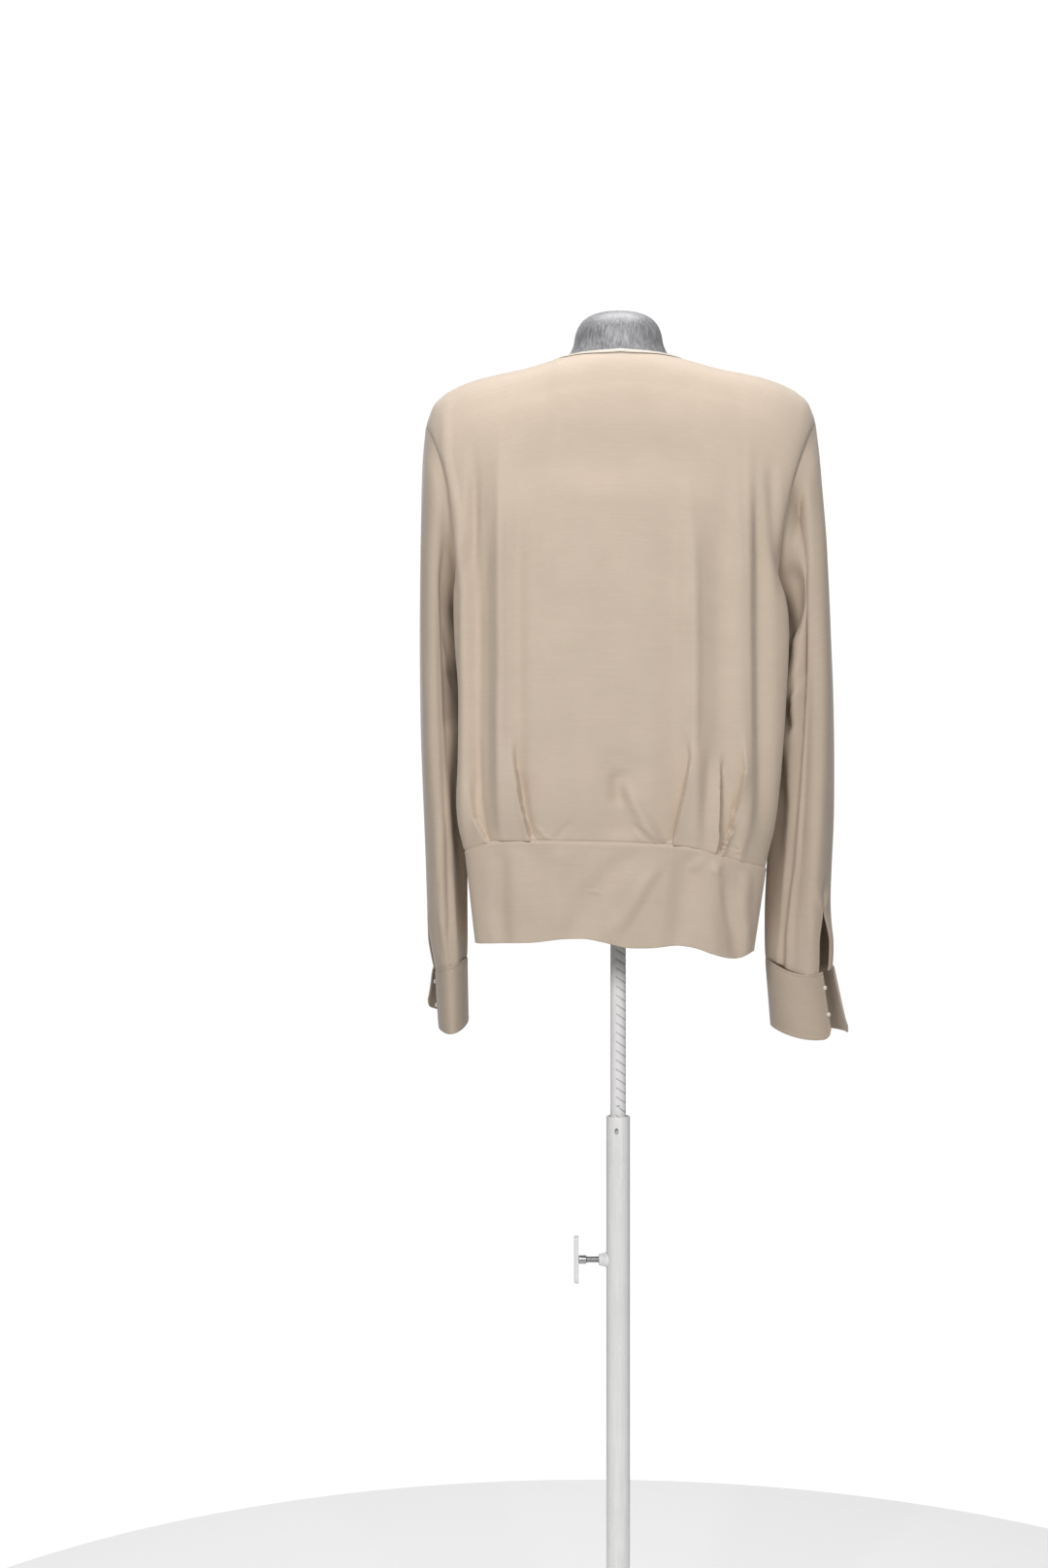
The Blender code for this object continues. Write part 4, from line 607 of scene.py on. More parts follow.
def body_points(face, rows, shares):
    """The body's surface before its folds, from the right edge (-1) to the left (1)."""
    rows, shares = np.broadcast_arrays(np.asarray(rows, float), np.asarray(shares, float))
    is_left = shares >= 0
    sign = np.where(is_left, 1.0, -1.0)
    centre_y, centre_z, square, corner_left, corner_right = np.moveaxis(
        smooth_rows(CENTRE[face], rows), -1, 0)
    corner = np.where(is_left, corner_left, corner_right)
    on_left = is_left[..., None]
    edge = np.where(on_left, edge_points("left", face, rows), edge_points("right", face, rows))
    tip = np.where(on_left, ARMHOLE["left"]["outer"], ARMHOLE["right"]["outer"]) * MM
    out = np.abs(shares)
    bow = np.clip(1 - out**square, 0, None) ** (1 / square)
    bulge = out**6 * (1 - out**12) / BULGE_PEAK
    fall = 1.2 + smooth_step(rows / 4)
    x = edge[..., 0] * out + sign * corner * MM * bulge
    y = edge[..., 1] + (centre_y * MM - edge[..., 1]) * bow
    z = edge[..., 2] + (centre_z * MM - edge[..., 2]) * (1 - out**fall)
    section_z = tip[..., 2] + (CENTRE[face][0][1] * MM - tip[..., 2]) * (1 - out**1.2)
    z = z + (shoulder_z(tip, out) - section_z) * (1 - smooth_step(rows / SHOULDER_HOLD))
    flat_z = CENTRE[face][FLAT_ROW][1] * MM
    down = (rows - FLAT_ROW) / (WAIST_ROW - FLAT_ROW)
    z = np.where(rows > FLAT_ROW, flat_z + (along(WAIST_SEAM[face], x) - flat_z) * down, z)
    return np.stack([x, y, z], axis=-1)


def shares_at(face, row, targets):
    """The shares at which a row passes given x values."""
    dense = np.sin(np.linspace(-math.pi / 2, math.pi / 2, 241))
    xs = body_points(face, row, dense)[:, 0]
    widest = slice(int(np.argmin(xs)), int(np.argmax(xs)) + 1)
    return np.interp(targets, xs[widest], dense[widest])


def tip_reach(xs):
    """How far out the armhole's top is on the side of each x."""
    return np.where(xs >= 0, ARMHOLE["left"]["outer"][0], -ARMHOLE["right"]["outer"][0]) * MM


def neckline_rows(face, top_xs):
    """How far down the surface the neckline cuts each column, found by halving."""
    shares = top_xs / tip_reach(top_xs)
    inside = np.abs(top_xs) < NECK_HALF - MM / 100
    reach = NECK_DEPTH[face] * np.sqrt(np.clip(1 - (top_xs / NECK_HALF) ** 2, 0, None))
    low = np.zeros(len(top_xs))
    high = np.full(len(top_xs), 3.0)
    for _ in range(HALVINGS):
        middle = (low + high) / 2
        short = np.abs(body_points(face, middle, shares)[:, 1] - NECK_POINT_Y) < reach
        low = np.where(short, middle, low)
        high = np.where(short, high, middle)
    return np.where(inside, (low + high) / 2, 0.0)


def pleat_x(pleat, height):
    """Where a pleat's crease is at a height over the waist seam."""
    return np.interp(height / MM, (0, 30, 90), pleat[:3]) * MM


def spread_columns(face, step):
    """Column shares at the pleats' tops and at the waist, closer together beside each pleat."""
    shares = {}
    for name, row, height in (("top", PLEAT_TOP_ROW, 90 * MM), ("waist", WAIST_ROW, 0.0)):
        creases = sorted(pleat_x(pleat, height) for pleat in PLEATS[face]
                         if pleat[-1] >= LONG_PLEAT)
        anchors = []
        for crease in creases:
            start = crease - PLEAT_REACH
            if anchors and start < anchors[-1] + MM:
                middle = (start + anchors[-1]) / 2
                anchors[-1] = middle - MM
                start = middle + MM
            at_crease = max(crease, start + MM)
            anchors += [start, at_crease, at_crease + PLEAT_REACH]
        found = shares_at(face, row, anchors)
        shares[name] = np.degrees(np.arcsin(np.clip([-1, *found, 1], -1, 1)))
    columns = {name: [angles[0]] for name, angles in shares.items()}
    wide = math.degrees(step / BODY_HALF)
    for i in range(1, len(shares["top"])):
        spans = [shares[name][i] - shares[name][i - 1] for name in shares]
        beside = i % 3 != 1
        count = max(2, round(sum(spans) / len(spans) / (wide * (BESIDE_PLEAT if beside else 1.0))))
        for k in range(1, count + 1):
            for name, angles in shares.items():
                columns[name].append(angles[i - 1] + (angles[i] - angles[i - 1]) * k / count)
    return {name: np.sin(np.radians(values)) for name, values in columns.items()}


def shoulder_columns(shares, neck_share):
    """The x of each column along the top edge, with one at each neck point."""
    reach = {s: abs(ARMHOLE[s]["outer"][0]) * MM for s in SIDES}
    right = int(np.argmin(np.abs(shares + neck_share)))
    left = int(np.argmin(np.abs(shares - neck_share)))
    last = len(shares) - 1
    j = np.arange(last + 1)
    from_start = np.minimum(j, right) / right
    on_right = -reach["right"] + (reach["right"] - NECK_HALF) * from_start**1.05
    on_neck = NECK_HALF * np.sin(np.pi * ((j - right) / (left - right) - 0.5))
    from_end = (last - np.maximum(j, left)) / (last - left)
    on_left = reach["left"] - (reach["left"] - NECK_HALF) * from_end**1.05
    return np.where(j < right, on_right, np.where(j <= left, on_neck, on_left)), right, left


def smooth_body(face, rows, columns, neck_share=NECK_SHARE):
    """The panel's surface before folds: a grid of points, row by row."""
    top_xs = shoulder_columns(columns["top"], neck_share)[0]
    rows = np.asarray(rows, dtype=float)[:, None]
    blend = smooth_step(rows / UNDERARM_ROW)
    upper = (1 - blend) * top_xs / tip_reach(top_xs) + blend * columns["top"]
    down = (rows - PLEAT_TOP_ROW) / (WAIST_ROW - PLEAT_TOP_ROW)
    lower = (1 - down) * columns["top"] + down * columns["waist"]
    shares = np.where(rows <= PLEAT_TOP_ROW, upper, lower)
    held = 1 - smooth_step(rows / 4.5)
    cut_rows = rows + neckline_rows(face, top_xs) * held
    return body_points(face, cut_rows, shares)


def grid_normals(grid, closed, outward):
    """Unit normals of a grid of points, turned to point along outward."""
    down = np.gradient(grid, axis=0)
    if closed:
        across = np.roll(grid, -1, axis=1) - np.roll(grid, 1, axis=1)
    else:
        across = np.gradient(grid, axis=1)
    normals = unit(np.cross(across, down))
    return normals * np.sign(np.sum(normals * outward))


# Folds


def fold_profile(distance, half_width):
    """A soft ridge: 1 on its line, 0 from twice its half-width."""
    return np.cos(np.clip(distance / half_width, -2, 2) * math.pi / 4) ** 2


def fade(share, past, start, end):
    """1 along a fold, down to 0 a little past both its ends. The last two say how softly."""
    return smooth_step((share + past) / start) * smooth_step((1 + past - share) / end)


def line_fold(across, up, line, half_width):
    """A soft ridge along a line of points, fading at its ends. Both are in mm or degrees."""
    ups = np.array([point[1] for point in line], dtype=float)
    acrosses = np.array([point[0] for point in line], dtype=float)
    if ups[0] > ups[-1]:
        ups, acrosses = ups[::-1], acrosses[::-1]
    share = (up - ups[0]) / (ups[-1] - ups[0])
    centre = np.interp(up, ups, acrosses)
    return fold_profile(across - centre, half_width) * fade(share, 0.25, 0.45, 0.45)


def ripple(along_mm, seed):
    """An uneven run of small waves about 7 mm long, from a few waves of unlike length."""
    waves = ((5.3, 0.9), (7.9, 2.1), (12.7, 4.4), (3.7, 1.3))
    total = np.zeros(np.shape(along_mm))
    for length, phase in waves:
        total += np.sin(2 * math.pi * along_mm / length + phase * (seed + 1))
    return total / len(waves)


def drift(points, seed):
    """A slow unevenness of hanging cloth, between about -1 and 1."""
    x, y, z = (points[..., k] / MM for k in range(3))
    total = np.sin((x + 0.4 * y) / 13.0 + seed + 1.3 * np.sin(z / 90.0 + seed))
    total += np.sin((x - y) / 21.0 - z / 160.0 + 2.2 * seed)
    total += 0.7 * np.sin((x + y) / 8.5 + z / 230.0 + 0.7 * seed + np.sin(z / 55.0))
    return total / 2.7


def pleat_relief(face, points):
    """How far the pleats lift each point, and how far their lips hang over the crease."""
    xs = points[..., 0]
    over_seam = np.clip(points[..., 2] - along(WAIST_SEAM[face], xs), 0, None)
    relief = np.zeros(xs.shape)
    lip = np.zeros(xs.shape)
    for pleat in PLEATS[face]:
        side, lift, trough, reach = pleat[3:]
        from_crease = (xs - pleat_x(pleat, over_seam)) * side
        up = over_seam / (reach * MM)
        height = (0.7 + 0.3 * smooth_step(up / 0.2)) * (1 - smooth_step((up - 0.5) / 0.5))
        crisp = 1 - smooth_step((up - 0.6) / 0.4)
        width = PLEAT_STEP * (1 + 5 * (1 - crisp))
        outside = np.clip(from_crease, 0, None)
        ridge = lift * np.exp(-outside / PLEAT_SPREAD * 1.3)
        valley = -trough * np.exp(-np.clip(-from_crease - width, 0, None) / PLEAT_SPREAD * 1.8)
        step = smooth_step((from_crease + width) / width)
        relief += (valley + (ridge - valley) * step) * PLEAT_CRISPNESS * MM * height
        near = step * np.exp(-outside / (3 * MM))
        lip -= side * PLEAT_LIP * near * crisp * smooth_step(up / 0.12)
    return relief, lip


def body_relief(face, points):
    """How far each point moves out for the hanging folds, swells and puckers."""
    xs, zs = points[..., 0], points[..., 2]
    relief = np.zeros(xs.shape)
    for foot_x, head_x, foot_z, head_z, half_width, lift in FOLDS[face]:
        share = (zs / MM - foot_z) / (head_z - foot_z)
        line = (foot_x + (head_x - foot_x) * share) * MM
        height = FOLD_GAIN * lift * MM * fade(share, 0.12, 0.22, 0.4)
        relief += height * fold_profile(xs - line, half_width * MM)
    for line, half_width, lift in FINE_FOLDS[face]:
        relief += FOLD_GAIN * lift * MM * line_fold(xs / MM, zs / MM, line, half_width)
    for x, z, half_x, half_z, lift in SWELLS[face]:
        relief += lift * MM * fold_profile(xs / MM - x, half_x) * fold_profile(zs / MM - z, half_z)
    over_seam = np.clip(zs - along(WAIST_SEAM[face], xs), 0, None) / MM
    strength = pucker_strength(face, xs) * np.exp(-over_seam / 7.0)
    relief += 0.45 * MM * strength * ripple(xs / MM, 0)
    relief += 0.28 * MM * drift(points, 1.0 if face == "back" else 3.0)
    return relief


def pucker_strength(face, xs):
    """How strong the waist seam's puckers are at each x."""
    return np.interp(xs / MM, *zip(*PUCKERS[face]))


def seam_dip(distance, depth=SEAM_DIP):
    """How far cloth is drawn in beside a seam."""
    return -depth * np.exp(-np.clip(distance, 0, None) / SEAM_REACH)


def armhole_normal(side, degrees):
    """Which way the walls face at the armhole seam, the same for the panel and the sleeve."""
    degrees = np.asarray(degrees, dtype=float)
    loop = ARMHOLE[side]
    point = named_loop(loop, degrees)
    middle = (np.array(loop["outer"]) + loop["back"] + loop["inner"] + loop["front"]) / 4 * MM
    under = ((1 - np.cos(np.radians(degrees))) / 2) ** 3
    away = point - middle
    away[..., 0] += (1 if side == "left" else -1) * (25 + 75 * under) * MM
    tangent = unit(named_loop(loop, degrees + 1) - named_loop(loop, degrees - 1))
    away -= tangent * np.sum(away * tangent, axis=-1, keepdims=True)
    return unit(away)


# Shells


def run_along(points):
    """How far along a line of points each of them is."""
    steps = np.linalg.norm(np.diff(points, axis=0), axis=1)
    return np.concatenate([[0], np.cumsum(steps)])


def edge_rows(outer, inner, row, inward, reach):
    """Rows that round a wall's upper or lower edge from its outer to its inner face."""
    way = unit(outer[row] - outer[inward]) * reach
    middle = (outer[row] + inner[row]) / 2
    across = (outer[row] - inner[row]) / 2
    return [middle + across * math.cos(bend) + way * math.sin(bend) for bend in EDGE_BENDS]


def wall_ends(index, rows, open_from):
    """Faces that close a wall's two sides, or those of a slit from its top down."""
    count, columns = index.shape
    ends = []
    for column, turn in ((0, 1), (columns - 1, -1)):
        side = index[:, column]
        for i in range(open_from or 0, rows - 1):
            k = count - 4 - i
            ends.append([side[i], side[i + 1], side[k - 1], side[k]][::turn])
        if open_from is None:
            ends.append([*side[-3:], side[0], side[rows * 2 + 2]][::-turn])
        ends.append([*side[rows - 1: rows + 4]][::-turn])
    return ends


def thin_wall(name, outer, normals, thickness, closed=False, open_from=None, rim=0.45):
    """A wall whose outer face is the grid, with rounded upper and lower edges.

    A closed grid wraps round. With open_from its last column lies on its first down to that row,
    and below it the two part as the edges of a slit. Its map runs in metres along the cloth.
    """
    inner = outer - normals * thickness
    foot = edge_rows(outer, inner, -1, -2, thickness * rim)
    head = edge_rows(outer, inner, 0, 1, thickness * rim)
    rings = np.concatenate([outer, foot, inner[::-1], head[::-1]])
    count, columns = rings.shape[:2]
    rows = len(outer)
    index = np.arange(count * columns).reshape(count, columns)
    middle_row = rings[rows // 2]
    if closed:
        index = np.concatenate([index, index[:, :1]], axis=1)
        middle_row = np.concatenate([middle_row, middle_row[:1]])
    if open_from is not None:
        joined = np.zeros(count, dtype=bool)
        joined[: open_from + 1] = True
        joined[rows + len(foot) + rows - 1 - open_from:] = True
        index[joined, -1] = index[joined, 0]
    wrapped = np.concatenate([index, index[:1]])
    quads = np.stack(
        [wrapped[:-1, :-1], wrapped[:-1, 1:], wrapped[1:, 1:], wrapped[1:, :-1]], axis=-1)

    across = run_along(middle_row)
    down = run_along(rings[:, columns // 2])
    down = np.append(down, down[-1] + thickness)
    u = np.stack([across[:-1], across[1:], across[1:], across[:-1]], axis=-1)
    v = np.stack([down[:-1], down[:-1], down[1:], down[1:]], axis=-1)
    u = np.broadcast_to(u[None], quads.shape)
    v = np.broadcast_to(v[:, None], quads.shape)
    ends = [] if closed else wall_ends(index, rows, open_from)
    return cloth_object(name, rings.reshape(-1, 3), quads.reshape(-1, 4), ends, u, v)


def cloth_object(name, points, quads, ends, u, v):
    """A smooth-shaded object of quads and end faces, its map from u and v by quad corner."""
    mesh = bpy.data.meshes.new(name)
    mesh.from_pydata(points.tolist(), [], quads.tolist() + [[int(i) for i in end] for end in ends])
    flat = np.zeros((len(mesh.loops), 2))
    flat[: quads.size, 0] = u.ravel()
    flat[: quads.size, 1] = v.ravel()
    mesh.uv_layers.new(name="cloth").data.foreach_set("uv", flat.ravel())
    mesh.validate()
    bm = bmesh.new()
    bm.from_mesh(mesh)
    loose = [vert for vert in bm.verts if not vert.link_faces]
    bmesh.ops.delete(bm, geom=loose, context="VERTS")
    bmesh.ops.recalc_face_normals(bm, faces=bm.faces)
    bm.to_mesh(mesh)
    bm.free()
    return link_mesh(name, mesh, 75)


def link_mesh(name, mesh, sharp):
    """Put a mesh into the scene, smooth but for edges sharper than an angle in degrees."""
    mesh.shade_smooth()
    mesh.set_sharp_from_angle(angle=math.radians(sharp))
    obj = bpy.data.objects.new(name, mesh)
    bpy.context.scene.collection.objects.link(obj)
    return obj


def mesh_object(name, bm, sharp=40):
    """A smooth-shaded object of what was built in bm."""
    mesh = bpy.data.meshes.new(name)
    bm.to_mesh(mesh)
    bm.free()
    return link_mesh(name, mesh, sharp)


def finish(obj, material, node=None, body="figure"):
    """Give a piece its material, its body and the node that it stands for."""
    obj.data.materials.clear()
    obj.data.materials.append(material)
    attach(obj, body)
    if node:
        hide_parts(node)
    return obj


# Panels


def even_rows(total, spacing, fine_end, fine_spacing):
    """Row places from 0 to total, closer together near the end. Spacings are in rows."""
    coarse = np.linspace(0, total - fine_end, round((total - fine_end) / spacing) + 1)
    fine = np.linspace(total - fine_end, total, round(fine_end / fine_spacing) + 1)
    return np.concatenate([coarse, fine[1:]])


def ease_underarm(grid, rows):
    """Ease the turn that the armhole's foot gives the rows, away from the panel's sides."""
    inside = off_sides(grid.shape[1], 0.12)
    near = 1 - smooth_step((np.abs(rows - UNDERARM_ROW) - 0.5) / 1.2)
    share = (near[1:-1, None] * inside[None])[..., None]
    for _ in range(EASINGS):
        grid[1:-1] += ((grid[:-2] + grid[2:]) / 2 - grid[1:-1]) * share * 0.9


def face_way(face):
    """Which way a panel faces."""
    return np.array([0, 1 if face == "back" else -1, 0])


def panel_surface(face):
    """The panel's outer surface with all its folds, its normals and its columns."""
    column_step, row_step = PANEL_STEPS[face]
    columns = spread_columns(face, column_step)
    rows = even_rows(WAIST_ROW, row_step, 0.5, 0.03)
    smooth = smooth_body(face, rows, columns)
    ease_underarm(smooth, rows)
    normals = grid_normals(smooth, False, face_way(face))
    quiet_sides = off_sides(smooth.shape[1], 0.035)
    quiet_top = smooth_step((rows - 0.05) / 0.8)[:, None]
    pleats, lip = pleat_relief(face, smooth)
    relief = (pleats + body_relief(face, smooth) * quiet_top) * quiet_sides
    over_seam = smooth_step((smooth[..., 2] - smooth[-1:, :, 2]) / (14 * MM))
    relief = np.maximum(relief, -1.0 * MM - 9 * MM * over_seam)
    grid = smooth + normals * relief[..., None]
    grid[..., 0] += lip
    from_side = np.linalg.norm(grid - grid[:, :1], axis=2)
    from_other = np.linalg.norm(grid - grid[:, -1:], axis=2)
    from_foot = np.abs(smooth[..., 2] - smooth[-1:, :, 2])
    dips = (seam_dip(from_side), seam_dip(from_other), seam_dip(from_foot, WAIST_SEAM_DIP))
    grid += normals * np.minimum.reduce(dips)[..., None]
    facing = grid_normals(grid, False, face_way(face))
    for column, side in ((0, "right"), (-1, "left")):
        upper = rows <= UNDERARM_ROW
        facing[upper, column] = armhole_normal(side, armhole_angles(face, rows[upper]))
        lower = facing[~upper, column]
        lower[:, 1] = 0
        facing[~upper, column] = unit(lower)
    return grid, unit(facing), columns


def add_panel(face, material):
    grid, normals, columns = panel_surface(face)
    obj = thin_wall(face + "_panel", grid, normals, CLOTH, rim=0.2)
    finish(obj, material, face)
    return columns


def band_folds(face, x, share):
    """How far the waistband's soft folds move out, by x and the share of the way down."""
    relief = np.zeros(x.shape)
    for line, half_width, lift in FINE_BAND_FOLDS[face]:
        course = [(across, down * BAND_DEPTH) for across, down in line]
        relief += lift * MM * line_fold(x / MM, share * BAND_DEPTH + 0 * x, course, half_width)
    return relief


def band_surface(face, columns):
    """The waistband's outer face from the waist seam to the hem."""
    waist = smooth_body(face, [WAIST_ROW], columns)[0]
    hem = waist.copy()
    left = hem[:, 0] >= 0
    hem[left, 0] *= BAND_TAPER["left"]
    hem[~left, 0] *= BAND_TAPER["right"]
    hem[:, 1] *= BAND_TAPER["depth"]
    hem[:, 2] = along(HEM[face], hem[:, 0])
    share = np.concatenate(
        [[0, 0.008, 0.018], np.linspace(0.03, 0.97, 44), [0.982, 0.992, 1.0]])[:, None]
    grid = waist + (hem - waist) * share[..., None]
    facing = level(grid_normals(grid, False, face_way(face)))
    facing[:, 0] = (-1, 0, 0)
    facing[:, -1] = (1, 0, 0)
    for x, z_share, width, lift in BAND_FOLDS[face]:
        near = fold_profile(grid[..., 0] - (x - 40 * (share - z_share)) * MM, width * MM)
        lift_here = near * lift * MM * np.sin(math.pi * np.minimum(share * 1.2, 1))
        grid[..., 1] += np.sign(waist[:, 1]) * lift_here
    sides = off_sides(grid.shape[1], 0.05)
    fine = BAND_FOLD_GAIN * band_folds(face, grid[..., 0], share) * smooth_step(share * 6)
    from_top = share * BAND_DEPTH
    strength = pucker_strength(face, waist[:, 0])
    fine += 0.3 * MM * strength * ripple(waist[:, 0] / MM, 1) * np.exp(-from_top / 6.0)
    fine += 0.25 * MM * drift(grid, 5.0) * smooth_step(share * 5)
    fine += 0.3 * MM * ripple(waist[:, 0] / MM / 3.2, 2) * smooth_step((share - 0.8) / 0.2)
    fine += seam_dip(from_top * MM, 0.6 * MM) + 0.5 * MM * np.exp(-((from_top - 2.6) / 1.3) ** 2)
    grid += facing * (BAND_PROUD + fine * sides)[..., None]
    grid[0, :, 2] += 0.4 * MM
    return grid, facing


def add_waistband(face, columns, material):
    grid, normals = band_surface(face, columns)
    obj = thin_wall("waistband_" + face + "_cloth", grid, normals, BAND_CLOTH)
    finish(obj, material, "waistband_" + face)


# Neckline binding


def neckline_edge(face):
    """The neckline's points from right to left and which way the panel faces there."""
    shares = np.sin(np.linspace(-math.pi / 2, math.pi / 2, 121))
    top_xs, right, left = shoulder_columns(shares, NECK_SHARE)
    rows = neckline_rows(face, top_xs)
    out = top_xs / tip_reach(top_xs)
    points = body_points(face, rows, out)
    down = body_points(face, rows + 0.05, out) - body_points(face, np.maximum(rows - 0.05, 0), out)
    across = body_points(face, rows, out + 0.01) - body_points(face, rows, out - 0.01)
    facing = unit(np.cross(across, down))
    facing *= np.where(facing[:, 2:] > 0, 1, -1)
    facing[[right, left], 1] = 0
    kept = slice(right, left + 1)
    return points[kept], unit(facing[kept])


def neckline_loop():
    """The whole neckline, its facing and the way outwards along the cloth."""
    back, back_facing = neckline_edge("back")
    front, front_facing = neckline_edge("front")
    points = np.concatenate([back, front[-2:0:-1]])
    facing = np.concatenate([back_facing, front_facing[-2:0:-1]])
    for _ in range(2):
        facing = unit(facing + 0.5 * (np.roll(facing, 1, axis=0) + np.roll(facing, -1, axis=0)))
    tangents = unit(np.roll(points, -1, axis=0) - np.roll(points, 1, axis=0))
    out = unit(np.cross(facing, tangents))
    flat = (points - np.array([0, NECK_CENTRE_Y, 0])) * np.array([1, 1, 0])
    out *= np.sign(np.sum(out * flat, axis=1))[:, None]
    return points, facing, out


def add_binding(material):
    """A rolled strip over the panels' edge: a crowned outer face and a narrow underside."""
    points, facing, out = neckline_loop()
    waver = 1 + 0.05 * ripple(np.arange(len(points)) * 3.1, 3)[:, None]
    grid = np.array([points + out * reach * MM + facing * (lift * waver) * MM
                     for reach, lift in BINDING_SECTION])
    normals = grid_normals(grid, True, facing[None] + np.zeros_like(grid))
    obj = thin_wall("neckline_binding", grid, normals, BINDING_CLOTH, closed=True)
    finish(obj, material, "neck_binding")


# Sleeves and cuffs


def sleeve_stations(side):
    """The four points of each ring from the armhole to the cuff seam, twelve numbers a row."""
    loop = ARMHOLE[side]
    rows = [[*loop["outer"], *loop["back"], *loop["inner"], *loop["front"]]]
    for outer_x, outer_z, inner_x, inner_z, back_y, front_y, side_x, side_z in SLEEVES[side]:
        rows.append([outer_x, 0, outer_z, side_x, back_y, side_z,
                     inner_x, 0, inner_z, side_x, front_y, side_z])
    return rows


def station_points(side, rows, angles):
    """Points of the sleeve's smooth surface, at row places and angles."""
    numbers = smooth_rows(sleeve_stations(side), rows) * MM
    outer, back, inner, front = (numbers[..., k: k + 3] for k in (0, 3, 6, 9))
    return loop_points(outer, back, inner, front, np.asarray(angles, dtype=float))


def sleeve_relief(side, angles, zs):
    """How far each point of a sleeve moves out for its folds."""
    relief = np.zeros(zs.shape)
    for head_angle, foot_angle, head_z, foot_z, half_width, lift in SLEEVE_FOLDS[side]:
        share = (head_z - zs / MM) / (head_z - foot_z)
        line = head_angle + (foot_angle - head_angle) * share
        apart = (angles - line + 180) % 360 - 180
        relief += lift * MM * fade(share, 0.15, 0.35, 0.3) * fold_profile(apart, half_width)
    for line, half_width, lift in FINE_SLEEVE_FOLDS[side]:
        for turn in (0, 360):
            relief += lift * MM * line_fold(angles - turn, zs / MM, line, half_width)
    return relief


def sleeve_surface(side):
    """The sleeve's outer face from the slit's line round to it again, its normals and slit row."""
    last = len(SLEEVES[side])
    rows = even_rows(last, 0.075, 0.9, 0.045)
    open_from = int(np.argmin(np.abs(rows - SLIT_ROW)))
    angles = SLIT_ANGLE[side] + np.linspace(0, 360, SLEEVE_COLUMNS)
    grid = station_points(side, rows[:, None], angles[None])
    middle = grid[:, :-1].mean(axis=1, keepdims=True)
    wrapped = grid_normals(grid[:, :-1], True, grid[:, :-1] - middle)
    normals = np.concatenate([wrapped, wrapped[:, :1]], axis=1)
    at_seam = armhole_normal(side, angles)
    blend = (1 - smooth_step(rows / 0.5))[:, None, None]
    normals = unit(normals * (1 - blend) + at_seam * blend)
    relief = sleeve_relief(side, angles[None] + 0 * grid[..., 2], grid[..., 2])
    relief += 0.3 * MM * drift(grid, 2.0 if side == "left" else 4.0)
    relief *= smooth_step(rows / 0.9)[:, None]
    from_foot = np.abs(grid[..., 2] - grid[-1:, :, 2])
    from_head = np.linalg.norm(grid - grid[:1], axis=2)
    gathers = ripple(np.radians(angles) * 38, 2)[None]
    relief += 0.4 * MM * gathers * np.exp(-from_foot / (8 * MM))
    easing = ripple(np.radians(angles) * 60, 4)[None] * (1 - np.exp(-rows * 12))[:, None]
    relief += 0.35 * MM * easing * np.exp(-from_head / (9 * MM))
    relief += seam_dip(from_head) + seam_dip(from_foot, 0.4 * MM)
    grid += normals * relief[..., None]
    open_slit(side, rows, angles, grid, normals, open_from)
    facing = grid_normals(grid, False, grid - middle)
    joined = (facing[:, 0] + facing[:, -1])[: open_from + 1]
    facing[: open_from + 1, 0] = facing[: open_from + 1, -1] = unit(joined)
    facing = unit(facing * (1 - blend) + at_seam * blend)
    facing[-1, :, 2] = 0
    return grid, unit(facing), open_from


def open_slit(side, rows, angles, grid, normals, top):
    """Part the edges at the slit's line below its top, and draw the cloth along with them."""
    down = np.clip((rows - SLIT_ROW) / (len(SLEEVES[side]) - SLIT_ROW), 0, 1)
    width = SLIT_WIDTH[side] * smooth_step(down * 2.2) * (1 - 0.2 * down)
    round_way = unit(grid[:, 2] - grid[:, -3])
    turned = angles - angles[0]
    near = smooth_step(1 - turned / 42)
    far = smooth_step(1 - (360 - turned) / 42)
    shift = (near - far)[None, :, None] * (width / 2)[:, None, None]
    grid += round_way[:, None] * shift
    grid += normals * (width * 0.25)[:, None, None] * far[None, :, None]
    joined = grid[: top + 1]
    joined[:, -1] = joined[:, 0] = (joined[:, 0] + joined[:, -1]) / 2


def add_sleeve(side, material):
    grid, normals, open_from = sleeve_surface(side)
    obj = thin_wall(side + "_sleeve", grid, normals, CLOTH, open_from=open_from, rim=0.2)
    finish(obj, material, "sleeve_" + side)


def cuff_surface(side, shares_down, turns):
    """The open cuff from its near edge round to the end of its under-lap."""
    down = np.asarray(shares_down, dtype=float)[:, None]
    turns = np.asarray(turns, dtype=float)[None]
    angles = SLIT_ANGLE[side] + CUFF_LAP[side] * turns
    high = station_points(side, [[float(len(SLEEVES[side]))]], angles)
    low = named_loop(CUFF_FOOT[side], angles)
    grid = high + (low - high) * down[..., None]
    grid[..., 2] -= 0.4 * MM * (down < 0.01)
    middle = grid.mean(axis=1, keepdims=True)
    normals = level(grid_normals(grid, False, grid - middle))
    flare = CUFF_FLARE[side] * (0.25 + 0.75 * down) * smooth_step((turns - 0.8) / 0.2) ** 1.5
    near = 1.5 * MM * down * smooth_step((0.12 - turns) / 0.12)
    grid += normals * (flare + near)[..., None]
    grid[..., 2] += CUFF_LAP_LIFT[side] * smooth_step((turns - 0.78) / 0.22) * down
    grid += normals * CUFF_PROUD
    for across in (turns * CUFF_CORNER_ROUND, (1 - turns) * CUFF_CORNER_ROUND):
        corner = 1 - np.sqrt(1 - np.clip(1 - across / CUFF_CORNER, 0, 1) ** 2)
        grid[..., 2] += corner * CUFF_CORNER * MM * down**3
    return grid, level(grid_normals(grid, False, grid - middle))


